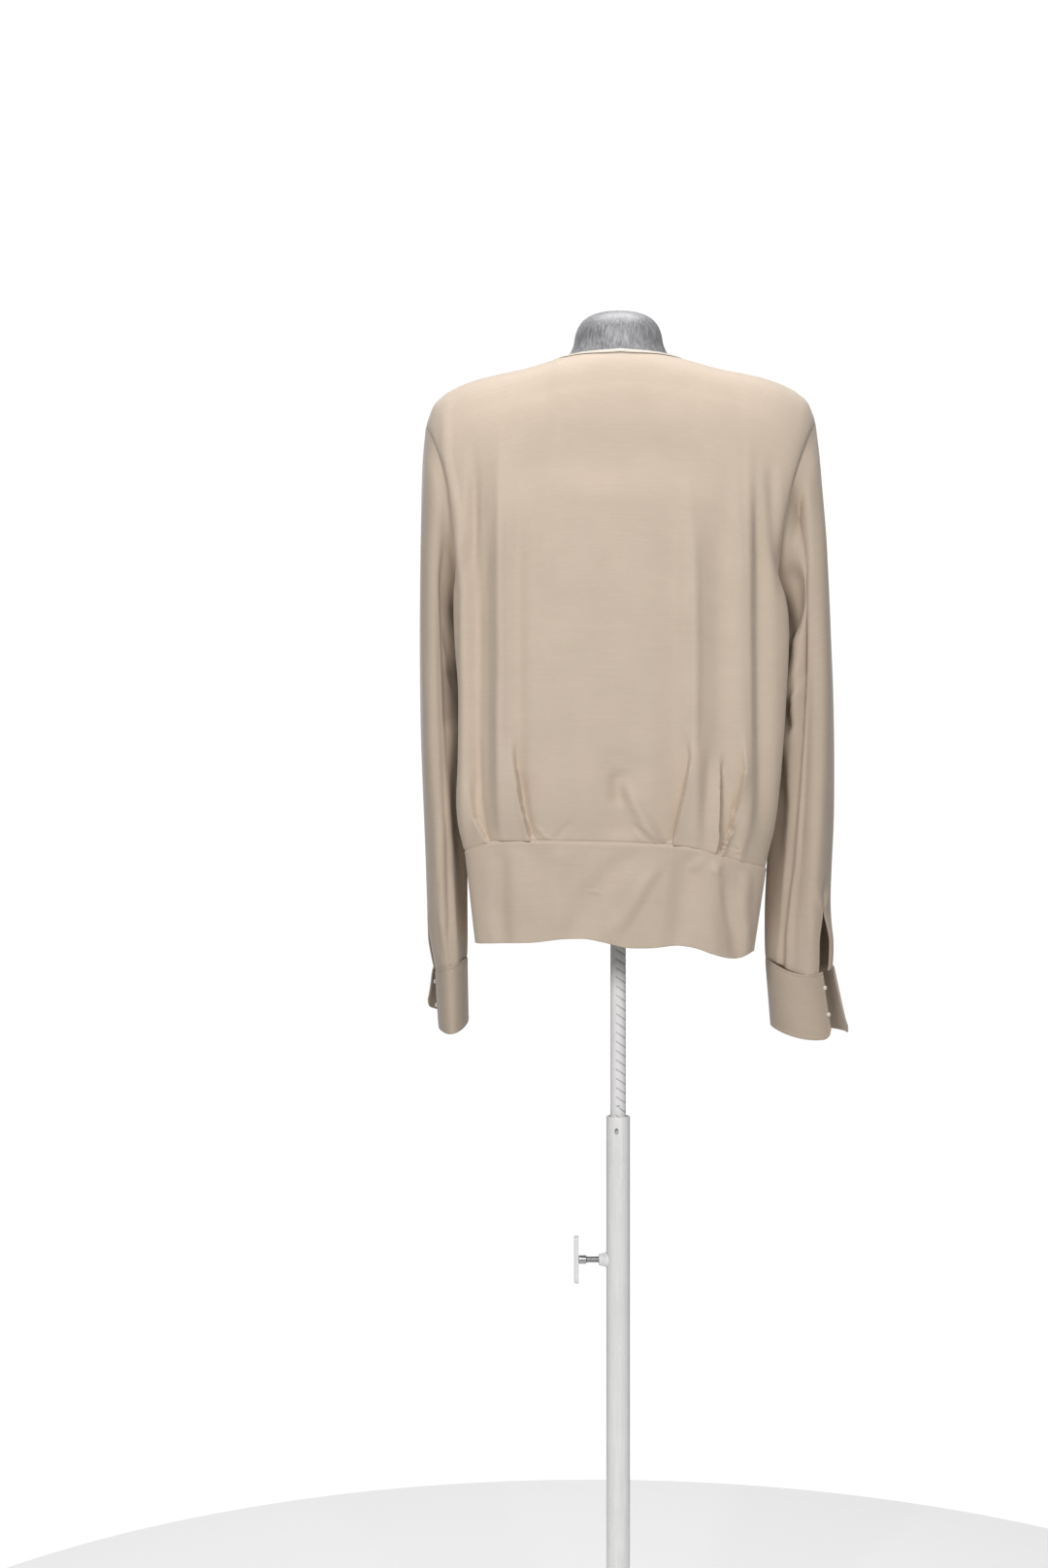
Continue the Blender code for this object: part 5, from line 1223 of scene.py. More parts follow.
def add_cuff(side, material):
    shares = np.concatenate(
        [np.linspace(0, 0.09, 11), np.linspace(0.11, 0.965, 32), [0.98, 0.992, 1.0]])[:, None]
    turns = np.linspace(0, 1, CUFF_COLUMNS)
    grid, normals = cuff_surface(side, shares[:, 0], turns)
    around = turns[None] * CUFF_ROUND
    from_top = shares * CUFF_DEPTH
    fine = 0.2 * MM * ripple(around, 5) * np.exp(-from_top / 5)
    fine = fine + 0.35 * MM * drift(grid, 7.0) * smooth_step(shares * 5)
    fine += seam_dip(from_top * MM)
    edges = (from_top, CUFF_DEPTH - from_top, around, CUFF_ROUND - around)
    for distance, depth in zip(edges, (0.6, 0.2, 0.2, 0.2)):
        fine -= depth * MM * np.exp(-(((distance - CUFF_EDGE_STITCH) / 0.8) ** 2))
    grid += normals * fine[..., None]
    obj = thin_wall(side + "_cuff", grid, normals, CUFF_CLOTH)
    finish(obj, material, "cuff_" + side)


# Turned pieces and strands


def join_rings(bm, rings):
    """Faces from each ring of vertices to the next, and from the last to the first."""
    steps = max(len(ring) for ring in rings)
    for upper, lower in zip(rings, [*rings[1:], rings[0]]):
        if len(upper) == 1 and len(lower) == 1:
            continue
        for i in range(steps):
            k = (i + 1) % steps
            corners = [upper[i % len(upper)], upper[k % len(upper)],
                       lower[k % len(lower)], lower[i % len(lower)]]
            bm.faces.new(list(dict.fromkeys(corners)))
    bmesh.ops.recalc_face_normals(bm, faces=bm.faces)


def lathe(name, profile, steps):
    """A turned piece from its outline of (radius, height), closed at radius 0."""
    angles = np.linspace(0, 2 * math.pi, steps, endpoint=False)
    bm = bmesh.new()
    rings = []
    for radius, z in profile:
        turns = angles if radius > 0 else angles[:1]
        rings.append([bm.verts.new((radius * math.cos(a), radius * math.sin(a), z)) for a in turns])
    join_rings(bm, rings)
    return mesh_object(name, bm)


def arc(radius, z, reach, start, end, steps):
    """A round edge of an outline about a centre, from one direction to another in degrees."""
    turns = np.radians(np.linspace(start, end, steps + 1))
    return [(radius + reach * math.cos(turn), z + reach * math.sin(turn)) for turn in turns]


def bridge(bm, ring, points):
    """A new ring of vertices joined to the last one, in the same order."""
    fresh = [bm.verts.new(point) for point in points]
    for i in range(len(ring)):
        k = (i + 1) % len(ring)
        bm.faces.new([ring[i], ring[k], fresh[k], fresh[i]])
    return fresh


def sweep(bm, course, radius, sides):
    """A round strand along a course of points, closed at both ends."""
    turns = [2 * math.pi * k / sides for k in range(sides)]
    ring = None
    for i, point in enumerate(course):
        ahead = (course[min(i + 1, len(course) - 1)] - course[max(i - 1, 0)]).normalized()
        across = across - ahead * across.dot(ahead) if ring else ahead.orthogonal()
        across.normalize()
        up = ahead.cross(across)
        points = [point + (across * math.cos(t) + up * math.sin(t)) * radius for t in turns]
        if ring:
            ring = bridge(bm, ring, points)
        else:
            first = ring = [bm.verts.new(point) for point in points]
    bm.faces.new(first[::-1])
    bm.faces.new(ring)


def add_buttons(side, material, thread):
    """Domed pearls at the cuff's near edge, each on a short shank of thread."""
    grid, facing = cuff_surface(side, CUFF_BUTTON_SHARES, np.arange(23) / 22)
    profile = [(0, BUTTON_GAP + BUTTON_THICKNESS)]
    for turn in np.radians(range(12, 180, 12)):
        height = BUTTON_GAP + BUTTON_THICKNESS * (1 + math.cos(turn)) / 2
        profile.append((BUTTON_RADIUS * math.sin(turn) ** 0.8, height))
    profile.append((0, BUTTON_GAP))
    for number, (line, normals) in enumerate(zip(grid, facing), 1):
        seat = line[0] + unit(line[1] - line[0]) * BUTTON_INSET
        turn = Vector(normals[0]).normalized().to_track_quat("Z", "Y").to_matrix().to_4x4()
        frame = Matrix.Translation(Vector(seat)) @ turn
        name = f"pearl_button_{side}_{number}"
        button = lathe(name, profile, 48)
        button.matrix_world = frame
        finish(button, material, f"cuff_button_{side}_{number}")
        bm = bmesh.new()
        sweep(bm, [frame @ Vector((0, 0, z * MM)) for z in (-0.6, 0.1, 0.6)], 0.5 * MM, 12)
        finish(mesh_object(name + "_shank", bm), thread)


# Stitches


def add_stitches(name, courses, material, length=2.2, gap=0.7, radius=0.17):
    """Lines of stitches, each a short strand lying in the cloth. Courses are points and normals."""
    bm = bmesh.new()
    shares, rises = np.array(STITCH_ARC).T
    for points, normals in courses:
        reach = run_along(points) / MM
        place = gap
        while place + length < reach[-1]:
            at = place + length * shares
            where = np.stack([np.interp(at, reach, points[:, k]) for k in range(3)], axis=1)
            facing = np.stack([np.interp(at, reach, normals[:, k]) for k in range(3)], axis=1)
            where += facing * (rises * MM)[:, None]
            sweep(bm, [Vector(point) for point in where], radius * MM, 5)
            place += length + gap
    finish(mesh_object(name, bm, sharp=60), material)


def cuff_stitch_courses(side):
    """The stitch lines round a cuff, a little way in from its four edges."""
    down = CUFF_EDGE_STITCH / CUFF_DEPTH
    inset = CUFF_EDGE_STITCH / CUFF_ROUND
    turns = np.linspace(inset, 1 - inset, 111)
    grid, normals = cuff_surface(side, [down, 0.25, 0.5, 0.75, 1 - down], turns)
    lines = (np.s_[0], np.s_[-1], np.s_[:, 0], np.s_[:, -1])
    return [(grid[line], normals[line]) for line in lines]


def slit_stitch_courses(side):
    """A stitch line beside each edge of the sleeve's slit."""
    grid, normals, open_from = sleeve_surface(side)
    return [(grid[open_from:, column], normals[open_from:, column]) for column in (1, -2)]


def binding_stitch_courses():
    """The line that holds the neckline's binding, just inside its outer edge."""
    points, facing, out = neckline_loop()
    reach, lift = BINDING_STITCHES
    sewn = points + out * reach * MM + facing * lift * MM
    return [(np.concatenate([sewn, sewn[:1]]), np.concatenate([facing, facing[:1]]))]


# The form


def form_depth(point):
    """How far the form lies under the cloth: least on the shoulders, where the cloth rests."""
    out, along_seam, across_seam = SHOULDER_REST
    far = ((abs(point.x) - out) / along_seam) ** 2 + (point.y / across_seam) ** 2
    return FORM_DEPTH + (REST_DEPTH - FORM_DEPTH) * math.exp(-far)


def form_shell():
    """The form's skin inside the blouse, open at its neck, its arms and its foot."""
    shares = np.sin(np.linspace(-math.pi / 2, math.pi / 2, FORM_COLUMNS + 1))
    columns = {"top": shares, "waist": shares}
    bm = bmesh.new()
    for face in FACES:
        grid = smooth_body(face, FORM_ROWS, columns, FORM_NECK_SHARE)
        verts = [[bm.verts.new(point) for point in line] for line in grid]
        for upper, lower in zip(verts[:-1], verts[1:]):
            for j in range(len(upper) - 1):
                bm.faces.new([upper[j], upper[j + 1], lower[j + 1], lower[j]])
    bmesh.ops.remove_doubles(bm, verts=bm.verts, dist=0.05 * MM)
    bmesh.ops.recalc_face_normals(bm, faces=bm.faces)
    bm.normal_update()
    heights, scales = zip(*FORM_SLIMMING)
    outward = 1 if sum(v.normal.y * v.co.y for v in bm.verts) > 0 else -1
    for vert in bm.verts:
        scale = float(np.interp(vert.co.z, np.array(heights) * MM, scales))
        moved = vert.co - vert.normal * outward * form_depth(vert.co)
        vert.co = Vector((moved.x * scale, moved.y * scale, moved.z))
    bm.verts.index_update()
    return bm


def shell_openings(bm):
    """The loops of vertices round the shell's openings."""
    border = [e for e in bm.edges if e.is_boundary]
    foot_z = min(v.co.z for e in border for v in e.verts)
    groups = {}
    for edge in border:
        middle = (edge.verts[0].co + edge.verts[1].co) / 2
        if middle.z < foot_z + 30 * MM:
            place = "foot"
        elif abs(middle.x) < NECK_HALF:
            place = "neck"
        else:
            place = "left" if middle.x > 0 else "right"
        groups.setdefault(place, []).append(edge)
    return {place: sort_loop(edges) for place, edges in groups.items()}


def sort_loop(edges):
    """The vertices of a loop of edges, in order."""
    links = {}
    for edge in edges:
        a, b = edge.verts
        links.setdefault(a, []).append(b)
        links.setdefault(b, []).append(a)
    start = min(links, key=lambda v: v.index)
    loop = [start]
    previous, here = None, start
    while True:
        following = [v for v in links[here] if v is not previous]
        previous, here = here, following[0]
        if here is start:
            return loop
        loop.append(here)


def close_ring(bm, ring, point):
    """Faces from a ring of vertices to one point."""
    tip = bm.verts.new(point)
    for i, vert in enumerate(ring):
        bm.faces.new([vert, ring[(i + 1) % len(ring)], tip])


def cap_arm(bm, ring, sign):
    """A softly domed plate over the armhole."""
    middle = sum((v.co for v in ring), Vector()) / len(ring)
    start = [v.co.copy() for v in ring]
    for share, dome in ARM_CAP:
        out = Vector((sign * dome * MM, 0, 0))
        if share == 0:
            close_ring(bm, ring, middle + out)
        else:
            ring = bridge(bm, ring, [middle + (co - middle) * share + out for co in start])


def cap_neck(bm, ring):
    """The neck's root, its round and its domed top."""
    start = [v.co.copy() for v in ring]
    first_z = NECK_RINGS[0][0] * MM
    circle = []
    for co in start:
        angle = math.atan2(co.y - NECK_CENTRE_Y, co.x)
        circle.append(Vector((NECK_RADIUS[0] * math.cos(angle),
                              NECK_CENTRE_Y + NECK_RADIUS[1] * math.sin(angle), first_z)))
    for share, sag in ((0.35, 0.28), (0.7, 0.2)):
        between = []
        for low, high in zip(start, circle):
            co = low.lerp(high, share)
            co.z -= (high.z - low.z) * sag
            between.append(co)
        ring = bridge(bm, ring, between)
    for z, share in NECK_RINGS:
        ring = bridge(bm, ring, [
            Vector((co.x * share, NECK_CENTRE_Y + (co.y - NECK_CENTRE_Y) * share, z * MM))
            for co in circle])
    close_ring(bm, ring, Vector((0, NECK_CENTRE_Y, NECK_TOP)))


def cap_foot(bm, foot):
    """The form's flat foot."""
    for vert in foot:
        vert.co.z = FORM_BOTTOM
    start = [v.co.copy() for v in foot]
    ring = foot
    for share in (0.97, 0.6, FORM_FOOT_SHARE):
        ring = bridge(bm, ring, [Vector((co.x * share, co.y * share, co.z)) for co in start])
    close_ring(bm, ring, Vector((0, 0, FORM_BOTTOM)))


def add_form(material):
    bm = form_shell()
    openings = shell_openings(bm)
    cap_arm(bm, openings["left"], 1)
    cap_arm(bm, openings["right"], -1)
    cap_neck(bm, openings["neck"])
    cap_foot(bm, openings["foot"])
    bmesh.ops.recalc_face_normals(bm, faces=bm.faces)
    obj = mesh_object("silver_form", bm, sharp=75)
    smoother = obj.modifiers.new("smooth", "SUBSURF")
    smoother.levels = smoother.render_levels = 2
    finish(obj, material, "form_body")


# The stand


def carve(obj, radius, depth, point, turn=(0, 0, 0), scale=(1, 1, 1)):
    """Cut a round hole into a piece and keep only the cut mesh."""
    bm = bmesh.new()
    bmesh.ops.create_cone(
        bm, cap_ends=True, segments=48, radius1=radius, radius2=radius, depth=depth)
    tool = mesh_object("hole", bm)
    tool.location, tool.rotation_euler, tool.scale = point, turn, scale
    modifier = obj.modifiers.new("hole", "BOOLEAN")
    modifier.operation, modifier.solver, modifier.object = "DIFFERENCE", "EXACT", tool
    bpy.context.view_layer.update()
    graph = bpy.context.evaluated_depsgraph_get()
    mesh = bpy.data.meshes.new_from_object(obj.evaluated_get(graph))
    obj.modifiers.clear()
    old, obj.data = obj.data, mesh
    bpy.data.meshes.remove(old)
    bpy.data.objects.remove(tool)
    mesh.shade_smooth()
    mesh.set_sharp_from_angle(angle=math.radians(35))


def rifling(angle, z):
    """The mast's fine winding lines, with a plain strip along one side."""
    line = (z + RIFLE_PITCH * 3 * angle / (2 * math.pi)) / RIFLE_PITCH
    groove = np.exp(-((((line + 0.5) % 1) - 0.5) / 0.11) ** 2)
    from_strip = np.abs((angle - RIFLE_PLAIN_ANGLE + math.pi) % (2 * math.pi) - math.pi)
    return -RIFLE_DEPTH * groove * smooth_step((from_strip - 0.62) / 0.16)


def add_mast(material):
    """The mast, its fine lines from 36 mm under its top to inside the tube."""
    angles = np.linspace(0, 2 * math.pi, 72, endpoint=False)
    straight = [MAST_TOP - 1.2 * MM, MAST_TOP - 10 * MM,
                *np.arange(MAST_TOP - 36 * MM, TUBE_TOP - 20 * MM, -0.8 * MM),
                *np.linspace(TUBE_TOP - 22 * MM, MAST_BOTTOM + 3 * MM, 14)]
    rows = [(0.0, MAST_TOP), (MAST_RADIUS - 1.0 * MM, MAST_TOP),
            (MAST_RADIUS - 0.3 * MM, MAST_TOP - 0.3 * MM),
            *((MAST_RADIUS, z) for z in straight),
            (MAST_RADIUS - 0.8 * MM, MAST_BOTTOM + 0.1 * MM), (0.0, MAST_BOTTOM)]
    bm = bmesh.new()
    # Each point's depth in a groove, kept for the material, which darkens the grooves as painted
    # shade
    groove = bm.verts.layers.float.new("groove")
    rings = []
    for radius, z in rows:
        turns = angles if radius > 0 else angles[:1]
        wound = radius + 0 * turns
        if radius == MAST_RADIUS and z < MAST_TOP - 35 * MM:
            wound += rifling(turns, z)
        ring = [bm.verts.new((r * math.cos(a), r * math.sin(a), z)) for r, a in zip(wound, turns)]
        for vert, r in zip(ring, wound):
            vert[groove] = (radius - r) / RIFLE_DEPTH
        rings.append(ring)
    join_rings(bm, rings)
    mast = mesh_object("rifled_mast", bm)
    carve(mast, 1.4 * MM, 6 * MM, (0, MAST_RADIUS, MAST_HOLE_Z), (math.pi / 2, 0, 0))
    finish(mast, material, "mast", "mast")


def add_tube(material):
    lip = 0.5 * MM
    profile = [
        (TUBE_BORE, TUBE_TOP - lip), (TUBE_BORE + lip / 2, TUBE_TOP), (TUBE_RADIUS - lip, TUBE_TOP),
        (TUBE_RADIUS - lip * 0.3, TUBE_TOP - lip * 0.3), (TUBE_RADIUS, TUBE_TOP - lip),
        (TUBE_RADIUS, TUBE_BOTTOM), (TUBE_BORE, TUBE_BOTTOM),
    ]
    tube = lathe("lower_tube", profile, 96)
    screw_hole = SCREW_RADIUS + 0.3 * MM
    carve(tube, screw_hole, 10 * MM, (TUBE_RADIUS, 0, CLAMP_Z), (0, math.pi / 2, 0))
    stop_hole = (2 * MM, TUBE_RADIUS, STOP_HOLE_Z)
    carve(tube, 2.1 * MM, 10 * MM, stop_hole, (math.pi / 2, 0, 0), (1, 1.5, 1))
    finish(tube, material, "stand_tube", "stand")


def add_base(material):
    bore = TUBE_RADIUS + 0.3 * MM
    round_top, fillet, round_rim = 2.2 * MM, 3 * MM, 2.5 * MM
    profile = [
        (0, BASE_THICKNESS), (bore, BASE_THICKNESS), (bore, COLLAR_TOP - 0.6 * MM),
        (bore + 0.6 * MM, COLLAR_TOP),
        *arc(COLLAR_RADIUS - round_top, COLLAR_TOP - round_top, round_top, 90, 0, 6),
        *arc(COLLAR_RADIUS + fillet, BASE_THICKNESS + fillet, fillet, 180, 270, 5),
        *arc(BASE_RADIUS - round_rim, BASE_THICKNESS - round_rim, round_rim, 90, 0, 5),
        (BASE_RADIUS, 0.8 * MM), (BASE_RADIUS - 0.8 * MM, 0), (0, 0),
    ]
    finish(lathe("round_base", profile, 160), material, "base_plate", "stand")


def add_socket(material):
    top = FORM_BOTTOM - 0.3 * MM
    bore = MAST_RADIUS + 0.3 * MM
    profile = [
        (0, top), (SOCKET_FLANGE, top), (SOCKET_FLANGE, top - 2.2 * MM),
        (SOCKET_FLANGE - 0.8 * MM, top - 3 * MM), (SOCKET_RADIUS + 2 * MM, top - 3.6 * MM),
        (SOCKET_RADIUS + 0.5 * MM, top - 4.3 * MM), (SOCKET_RADIUS, top - 6 * MM),
        (SOCKET_RADIUS, SOCKET_BOTTOM + MM), (SOCKET_RADIUS - MM, SOCKET_BOTTOM),
        (bore + 0.6 * MM, SOCKET_BOTTOM), (bore, SOCKET_BOTTOM + 0.6 * MM),
        (bore, MAST_TOP + 0.3 * MM), (0, MAST_TOP + 0.3 * MM),
    ]
    finish(lathe("turning_socket", profile, 80), material, "form_socket")


def add_boss(paint, to_x):
    """The boss on the tube's side, hollowed for the tube and the screw."""
    foot, end = BOSS_RADIUS + 1.5 * MM, BOSS_RADIUS - 0.5 * MM
    profile = [
        (0, BOSS_END), (end - 0.8 * MM, BOSS_END), (end - 0.2 * MM, BOSS_END - 0.3 * MM),
        (end, BOSS_END - MM), (foot - 0.6 * MM, 13.2 * MM), (foot, 12.2 * MM), (foot, 8 * MM),
        (0, 8 * MM),
    ]
    boss = lathe("welded_boss", profile, 64)
    boss.data.transform(to_x)
    carve(boss, TUBE_RADIUS + CLAMP_GAP, 60 * MM, (0, 0, CLAMP_Z))
    screw_hole = SCREW_RADIUS + 0.3 * MM
    carve(boss, screw_hole, 40 * MM, (BOSS_END, 0, CLAMP_Z), (0, math.pi / 2, 0))
    finish(boss, paint, "clamp_boss", "stand")


def add_screw(steel, to_x):
    """The clamp's screw: a hub and a thread that ends just short of the mast."""
    tip = MAST_RADIUS + CLAMP_GAP
    profile = [
        (0, HUB_END), (HUB_RADIUS - 0.8 * MM, HUB_END), (HUB_RADIUS - 0.2 * MM, HUB_END - 0.3 * MM),
        (HUB_RADIUS, HUB_END - 0.9 * MM), (HUB_RADIUS, HUB_START + 0.9 * MM),
        (HUB_RADIUS - 0.2 * MM, HUB_START + 0.3 * MM), (HUB_RADIUS - 0.8 * MM, HUB_START),
    ]
    place = HUB_START - 0.4 * MM
    crest, root = SCREW_RADIUS, SCREW_RADIUS - 0.45 * MM
    while place - THREAD_PITCH > tip + 1.2 * MM:
        for share, radius in ((0, root), (0.3, crest), (0.55, crest), (0.85, root)):
            profile.append((radius, place - share * THREAD_PITCH))
        place -= THREAD_PITCH
    profile += [(root, tip + 1.1 * MM), (SCREW_RADIUS - MM, tip), (0, tip)]
    screw = lathe("clamp_thread", profile, 48)
    screw.data.transform(to_x)
    finish(screw, steel, "clamp_screw", "clamp")


def add_bar(paint):
    """The clamp's upright handle, round-ended and turned a little."""
    bm = bmesh.new()
    bmesh.ops.create_cube(bm, size=1)
    bmesh.ops.scale(bm, vec=BAR_SIZE, verts=bm.verts)
    long_edges = [e for e in bm.edges
                  if abs(e.verts[0].co.x - e.verts[1].co.x) > BAR_SIZE[0] / 2]
    bmesh.ops.bevel(bm, geom=long_edges, offset=BAR_SIZE[1] * 0.45, segments=10, profile=0.5,
                    affect="EDGES")
    rims = [e for e in bm.edges if e.calc_face_angle(0) > math.radians(60)]
    bmesh.ops.bevel(bm, geom=rims, offset=0.8 * MM, segments=4, profile=0.5, affect="EDGES")
    middle = (HUB_END + 0.3 * MM + BAR_SIZE[0] / 2, 0, CLAMP_Z)
    bm.transform(Matrix.Translation(middle) @ Matrix.Rotation(BAR_TURN, 4, "X"))
    finish(mesh_object("clamp_handle", bm), paint, "clamp_bar", "clamp")


# Materials


class Nodes:
    """A node tree to which named nodes are added with their inputs already joined or set."""

    def __init__(self, tree):
        self.tree = tree

    def fill(self, node, **inputs):
        """Join or set a node's inputs, each by its name, or by its place as in i0."""
        for name, value in inputs.items():
            socket = node.inputs[int(name[1:]) if name[1:].isdigit() else name.replace("_", " ")]
            if isinstance(value, bpy.types.NodeSocket):
                self.tree.links.new(value, socket)
            else:
                socket.default_value = value
        return node

    def add(self, kind, settings=None, **inputs):
        node = self.tree.nodes.new("ShaderNode" + kind)
        for name, value in (settings or {}).items():
            setattr(node, name, value)
        return self.fill(node, **inputs)

    def maths(self, operation, first, second):
        return self.add("Math", {"operation": operation}, i0=first, i1=second).outputs[0]

    def weighted(self, *parts):
        """The sum of some values, each times its weight."""
        total, *others = [self.maths("MULTIPLY", value, weight) for value, weight in parts]
        for value in others:
            total = self.maths("ADD", total, value)
        return total

    def mix(self, share, low, high):
        """A colour between two, each a socket or red, green and blue."""
        low, high = (c if isinstance(c, bpy.types.NodeSocket) else (*c, 1) for c in (low, high))
        return self.add("Mix", {"data_type": "RGBA"}, Factor=share, i6=low, i7=high).outputs[2]

    def stretched(self, vector, scale):
        return self.add("VectorMath", {"operation": "MULTIPLY"}, i0=vector, i1=scale).outputs[0]

    def noise(self, vector, scale, detail, rough):
        return self.add("TexNoise", Vector=self.stretched(vector, scale), Scale=1.0,
                        Detail=detail, Roughness=rough).outputs["Fac"]

    def spread(self, value, low, high, to_low=0.0, to_high=1.0):
        return self.add("MapRange", Value=value, From_Min=low, From_Max=high, To_Min=to_low,
                        To_Max=to_high).outputs["Result"]

    def bumps(self, height, strength, distance):
        node = self.add("Bump", Strength=strength, Distance=distance, Height=height)
        return node.outputs["Normal"]


def make_group(name, inputs, outputs):
    """A node group whose inputs are (kind, name) pairs and whose outputs are values."""
    tree = bpy.data.node_groups.new(name, "ShaderNodeTree")
    for kind, label in inputs:
        tree.interface.new_socket(label, in_out="INPUT", socket_type="NodeSocket" + kind)
    for label in outputs:
        tree.interface.new_socket(label, in_out="OUTPUT", socket_type="NodeSocketFloat")
    return Nodes(tree), tree.nodes.new("NodeGroupInput").outputs, tree.nodes.new("NodeGroupOutput")


def weave_group():
    """Crepe: fine cross ribs, thicker threads here and there, and soft clouding."""
    nodes, given, result = make_group("crepe_weave", [("Vector", "Along")], ["Height", "Shade"])
    along_cloth = given["Along"]
    grain = nodes.noise(along_cloth, (1500, 4200, 1), 2, 0.6)
    ribs = nodes.noise(along_cloth, (140, 1500, 1), 2, 0.5)
    warp = nodes.noise(along_cloth, (1300, 90, 1), 2, 0.5)
    slubs = nodes.spread(nodes.noise(along_cloth, (24, 420, 1), 3, 0.5), 0.42, 0.72)
    cloud = nodes.noise(along_cloth, (22, 22, 1), 3, 0.55)
    height = nodes.weighted((grain, 0.45), (ribs, 0.5), (warp, 0.3), (slubs, 0.35))
    shade = nodes.weighted((cloud, 0.62), (slubs, 0.12), (ribs, 0.26))
    nodes.fill(result, Height=height, Shade=shade)
    return nodes.tree


def streak_group():
    """Fine upright streaks, as rolled or brushed skin has, with slow unevenness."""
    nodes, given, result = make_group(
        "fine_streaks", [("Vector", "Place"), ("Float", "Fineness")], ["Streak", "Cloud"])
    place = nodes.stretched(given["Place"], (1, 1, 0.035))
    scaled = nodes.add("VectorMath", {"operation": "SCALE"}, i0=place, Scale=given["Fineness"])
    nodes.fill(result, Streak=nodes.noise(scaled.outputs[0], (1, 1, 1), 3, 0.6),
               Cloud=nodes.noise(given["Place"], (26, 26, 26), 3, 0.55))
    return nodes.tree


def wear_group():
    """Scuffs: short rubbed marks in patches, and faint dust."""
    nodes, given, result = make_group("scuffs", [("Vector", "Place")], ["Scuff", "Dust"])
    place = given["Place"]
    patch = nodes.spread(nodes.noise(place, (30, 30, 14), 2, 0.5), 0.5, 0.66)
    marks = nodes.spread(nodes.noise(place, (900, 900, 160), 3, 0.65), 0.56, 0.66)
    dust = nodes.spread(nodes.noise(place, (420, 420, 420), 4, 0.7), 0.45, 0.8)
    nodes.fill(result, Scuff=nodes.maths("MULTIPLY", patch, marks), Dust=dust)
    return nodes.tree


def new_material(name):
    material = bpy.data.materials.new(name)
    material.use_nodes = True
    nodes = Nodes(material.node_tree)
    return material, nodes, material.node_tree.nodes["Principled BSDF"]


def cloth_material(name, weave):
    """Woven cloth from its dark and light thread colours."""
    dark, light, rough, sheen, bump = CLOTHS[name]
    material, nodes, skin = new_material(name)
    place = nodes.add("UVMap", {"uv_map": "cloth"}).outputs["UV"]
    woven = nodes.add("Group", {"node_tree": weave}, Along=place).outputs
    nodes.fill(
        skin, Base_Color=nodes.mix(nodes.spread(woven["Shade"], 0.2, 0.8), dark, light),
        Normal=nodes.bumps(woven["Height"], bump, 0.25 * MM),
        Roughness=nodes.spread(woven["Height"], 0.4, 1.2, rough + 0.06, rough - 0.06),
        Sheen_Weight=sheen, Sheen_Roughness=0.45, Specular_IOR_Level=0.35)
    return material


def streaked_material(name, streaks, scuffs):
    """Painted or bare metal from its dark and light colours, with painted shade in the mast's
    grooves.
    """
    dark, light, rough, metallic, fineness, wear = SKINS[name]
    material, nodes, skin = new_material(name)
    place = nodes.add("TexCoord").outputs["Object"]
    streak = nodes.add("Group", {"node_tree": streaks}, Place=place, Fineness=fineness).outputs
    marks = nodes.add("Group", {"node_tree": scuffs}, Place=place).outputs
    share = nodes.weighted((streak["Streak"], 0.7), (streak["Cloud"], 0.3))
    # A darker colour, used for both the rubbed marks and the painted shade in the mast's grooves
    rubbed_and_groove_shade = tuple(0.55 * value for value in dark)
    colour = nodes.mix(nodes.spread(share, 0.36, 0.64), dark, light)
    colour = nodes.mix(nodes.maths("MULTIPLY", marks["Scuff"], wear), colour, rubbed_and_groove_shade)
    # Painted shade: the colour darkens where a point lies deep in one of the mast's grooves
    groove = nodes.add("Attribute", {"attribute_name": "groove"}).outputs["Fac"]
    dusty = nodes.maths("MULTIPLY", marks["Dust"], 0.08)
    roughness = nodes.spread(share, 0.3, 0.7, rough - 0.05, rough + 0.06)
    nodes.fill(
        skin, Base_Color=nodes.mix(nodes.spread(groove, 0.2, 0.75, 0.0, 0.8), colour, rubbed_and_groove_shade),
        Roughness=nodes.maths("ADD", roughness, dusty), Metallic=metallic,
        Normal=nodes.bumps(streak["Streak"], 0.25, 0.05 * MM))
    return material


def pearl_material(streaks):
    """Warm white shell with faint swirls under a clear coat."""
    material, nodes, skin = new_material("button_pearl")
    place = nodes.add("TexCoord").outputs["Object"]
    noise = nodes.add("TexNoise", Vector=place, Scale=420.0, Detail=4.0, Distortion=1.6)
    swirl = noise.outputs["Fac"]
    streak = nodes.add("Group", {"node_tree": streaks}, Place=place, Fineness=900.0).outputs
    share = nodes.spread(nodes.weighted((swirl, 0.75), (streak["Streak"], 0.25)), 0.35, 0.65)
    nodes.fill(skin, Base_Color=nodes.mix(share, (0.66, 0.62, 0.56), (0.88, 0.86, 0.82)),
               Roughness=nodes.spread(swirl, 0.3, 0.7, 0.16, 0.3), Coat_Weight=0.5,
               Coat_Roughness=0.1)
    return material


# Studio


def link_object(name, data, point):
    """Put a lamp or camera into the scene."""
    obj = bpy.data.objects.new(name, data)
    bpy.context.scene.collection.objects.link(obj)
    obj.location = point
    return obj


def add_lamp(name, energy, size, point, target):
    data = bpy.data.lights.new(name, "AREA")
    data.shape = "RECTANGLE"
    data.energy, data.size, data.size_y = energy, *size
    lamp = link_object(name, data, point)
    lamp.rotation_euler = (Vector(target) - Vector(point)).to_track_quat("-Z", "Y").to_euler()


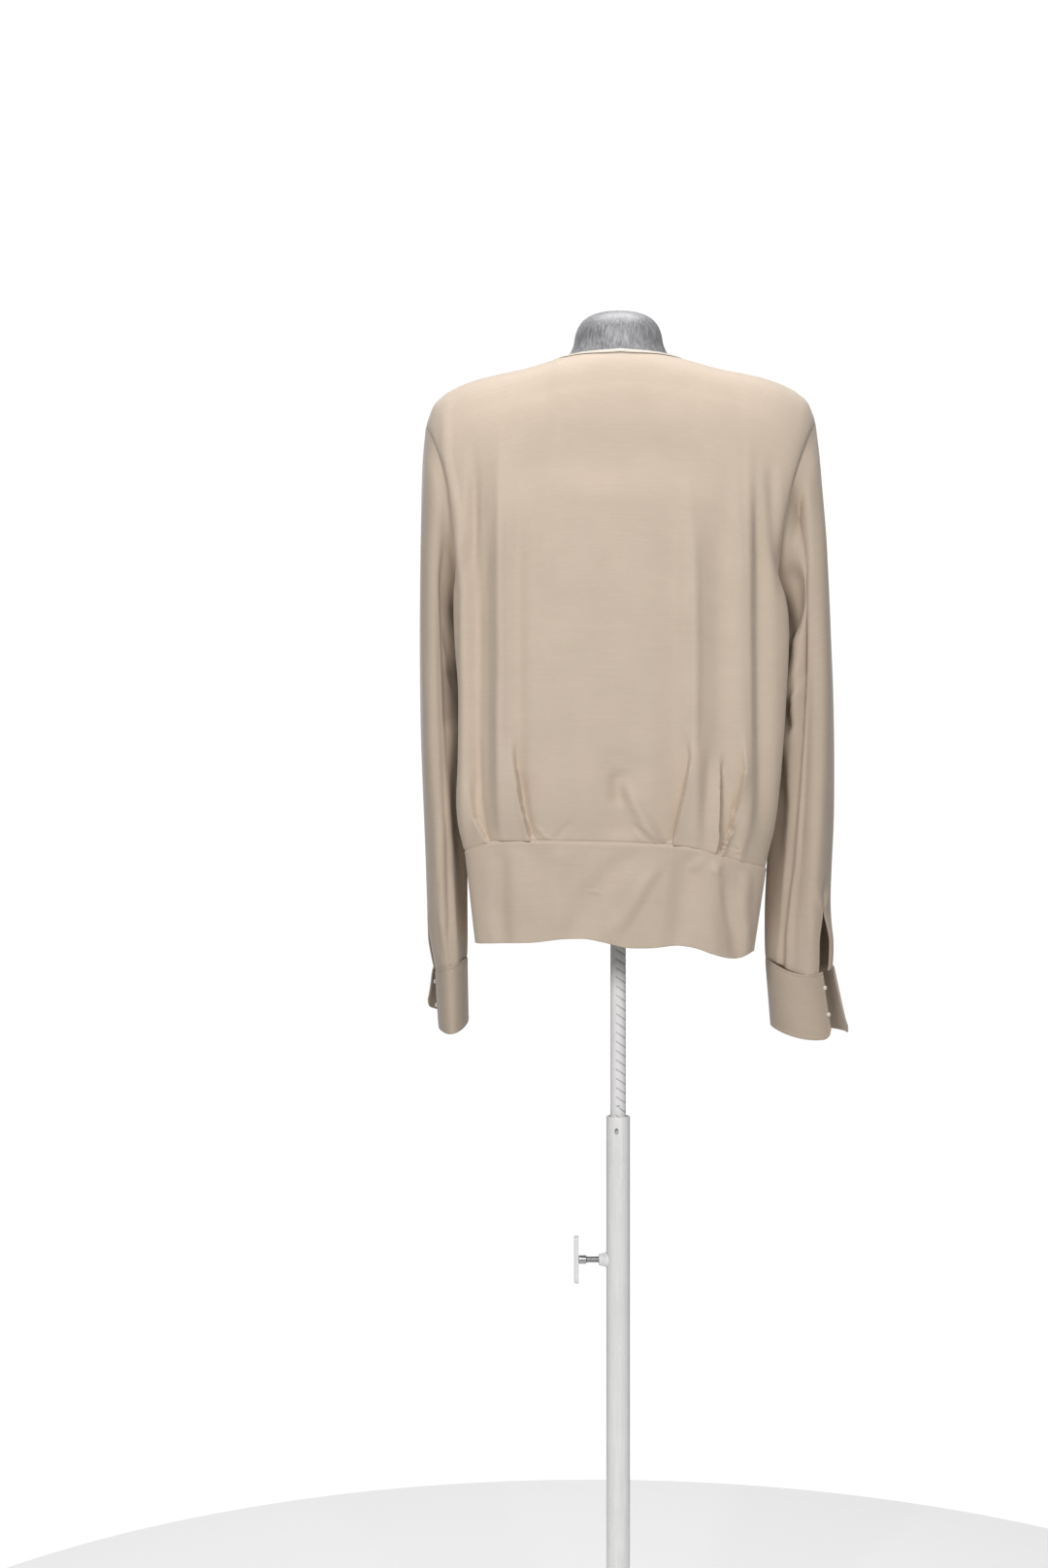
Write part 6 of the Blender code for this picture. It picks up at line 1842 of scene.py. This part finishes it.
def add_studio():
    """A white floor, a white surround that shines softly, and the lamps."""
    bm = bmesh.new()
    bmesh.ops.create_circle(bm, cap_ends=True, segments=96, radius=FLOOR_RADIUS)
    floor = mesh_object("floor", bm)
    floor.location = (0, 0, -0.0005)
    paper, nodes, skin = new_material("white_paper")
    nodes.fill(skin, Base_Color=(0.9, 0.9, 0.9, 1), Roughness=0.9,
               Emission_Color=(1, 1, 1, 1), Emission_Strength=FLOOR_GLOW)
    floor.data.materials.append(paper)
    world = bpy.data.worlds.new("studio")
    world.use_nodes = True
    nodes = Nodes(world.node_tree)
    seen = nodes.add("LightPath").outputs["Is Camera Ray"]
    nodes.fill(world.node_tree.nodes["Background"], Color=(1, 1, 1, 1),
               Strength=nodes.spread(seen, 0.0, 1.0, SURROUND, 1.05))
    bpy.context.scene.world = world
    for name, lamp in LAMPS.items():
        add_lamp(name, *lamp)
    bpy.context.scene.view_settings.view_transform = "Standard"


def add_camera():
    data = bpy.data.cameras.new("photo_camera")
    data.lens = CAMERA_LENS
    camera = link_object("photo_camera", data, CAMERA_POINT)
    camera.rotation_euler = (math.pi / 2, 0, math.pi)
    bpy.context.scene.camera = camera


# The whole


def main():
    """The pieces, the studio and the camera."""
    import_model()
    weave, streaks, scuffs = weave_group(), streak_group(), wear_group()
    # The sleeves and cuffs take darker copies of the crepe as painted shade
    crepe, sleeve_crepe_painted_shade, cuff_crepe_painted_shade, trim = (cloth_material(name, weave) for name in CLOTHS)
    thread, silver, paint, chrome, steel = (
        streaked_material(name, streaks, scuffs) for name in SKINS)
    pearl = pearl_material(streaks)

    add_form(silver)
    for face in FACES:
        columns = add_panel(face, crepe)
        add_waistband(face, columns, crepe)
    add_binding(trim)
    for side in SIDES:
        add_sleeve(side, sleeve_crepe_painted_shade)
        add_cuff(side, cuff_crepe_painted_shade)
        add_buttons(side, pearl, thread)
        add_stitches("cuff_stitches_" + side, cuff_stitch_courses(side), thread)
        add_stitches("slit_stitches_" + side, slit_stitch_courses(side), thread)
    add_stitches("binding_stitches", binding_stitch_courses(), thread, length=1.8)

    add_mast(chrome)
    add_tube(paint)
    add_base(paint)
    add_socket(steel)
    to_x = Matrix.Translation((0, 0, CLAMP_Z)) @ Euler((0, math.pi / 2, 0)).to_matrix().to_4x4()
    add_boss(paint, to_x)
    add_screw(steel, to_x)
    add_bar(paint)

    add_studio()
    add_camera()


main()
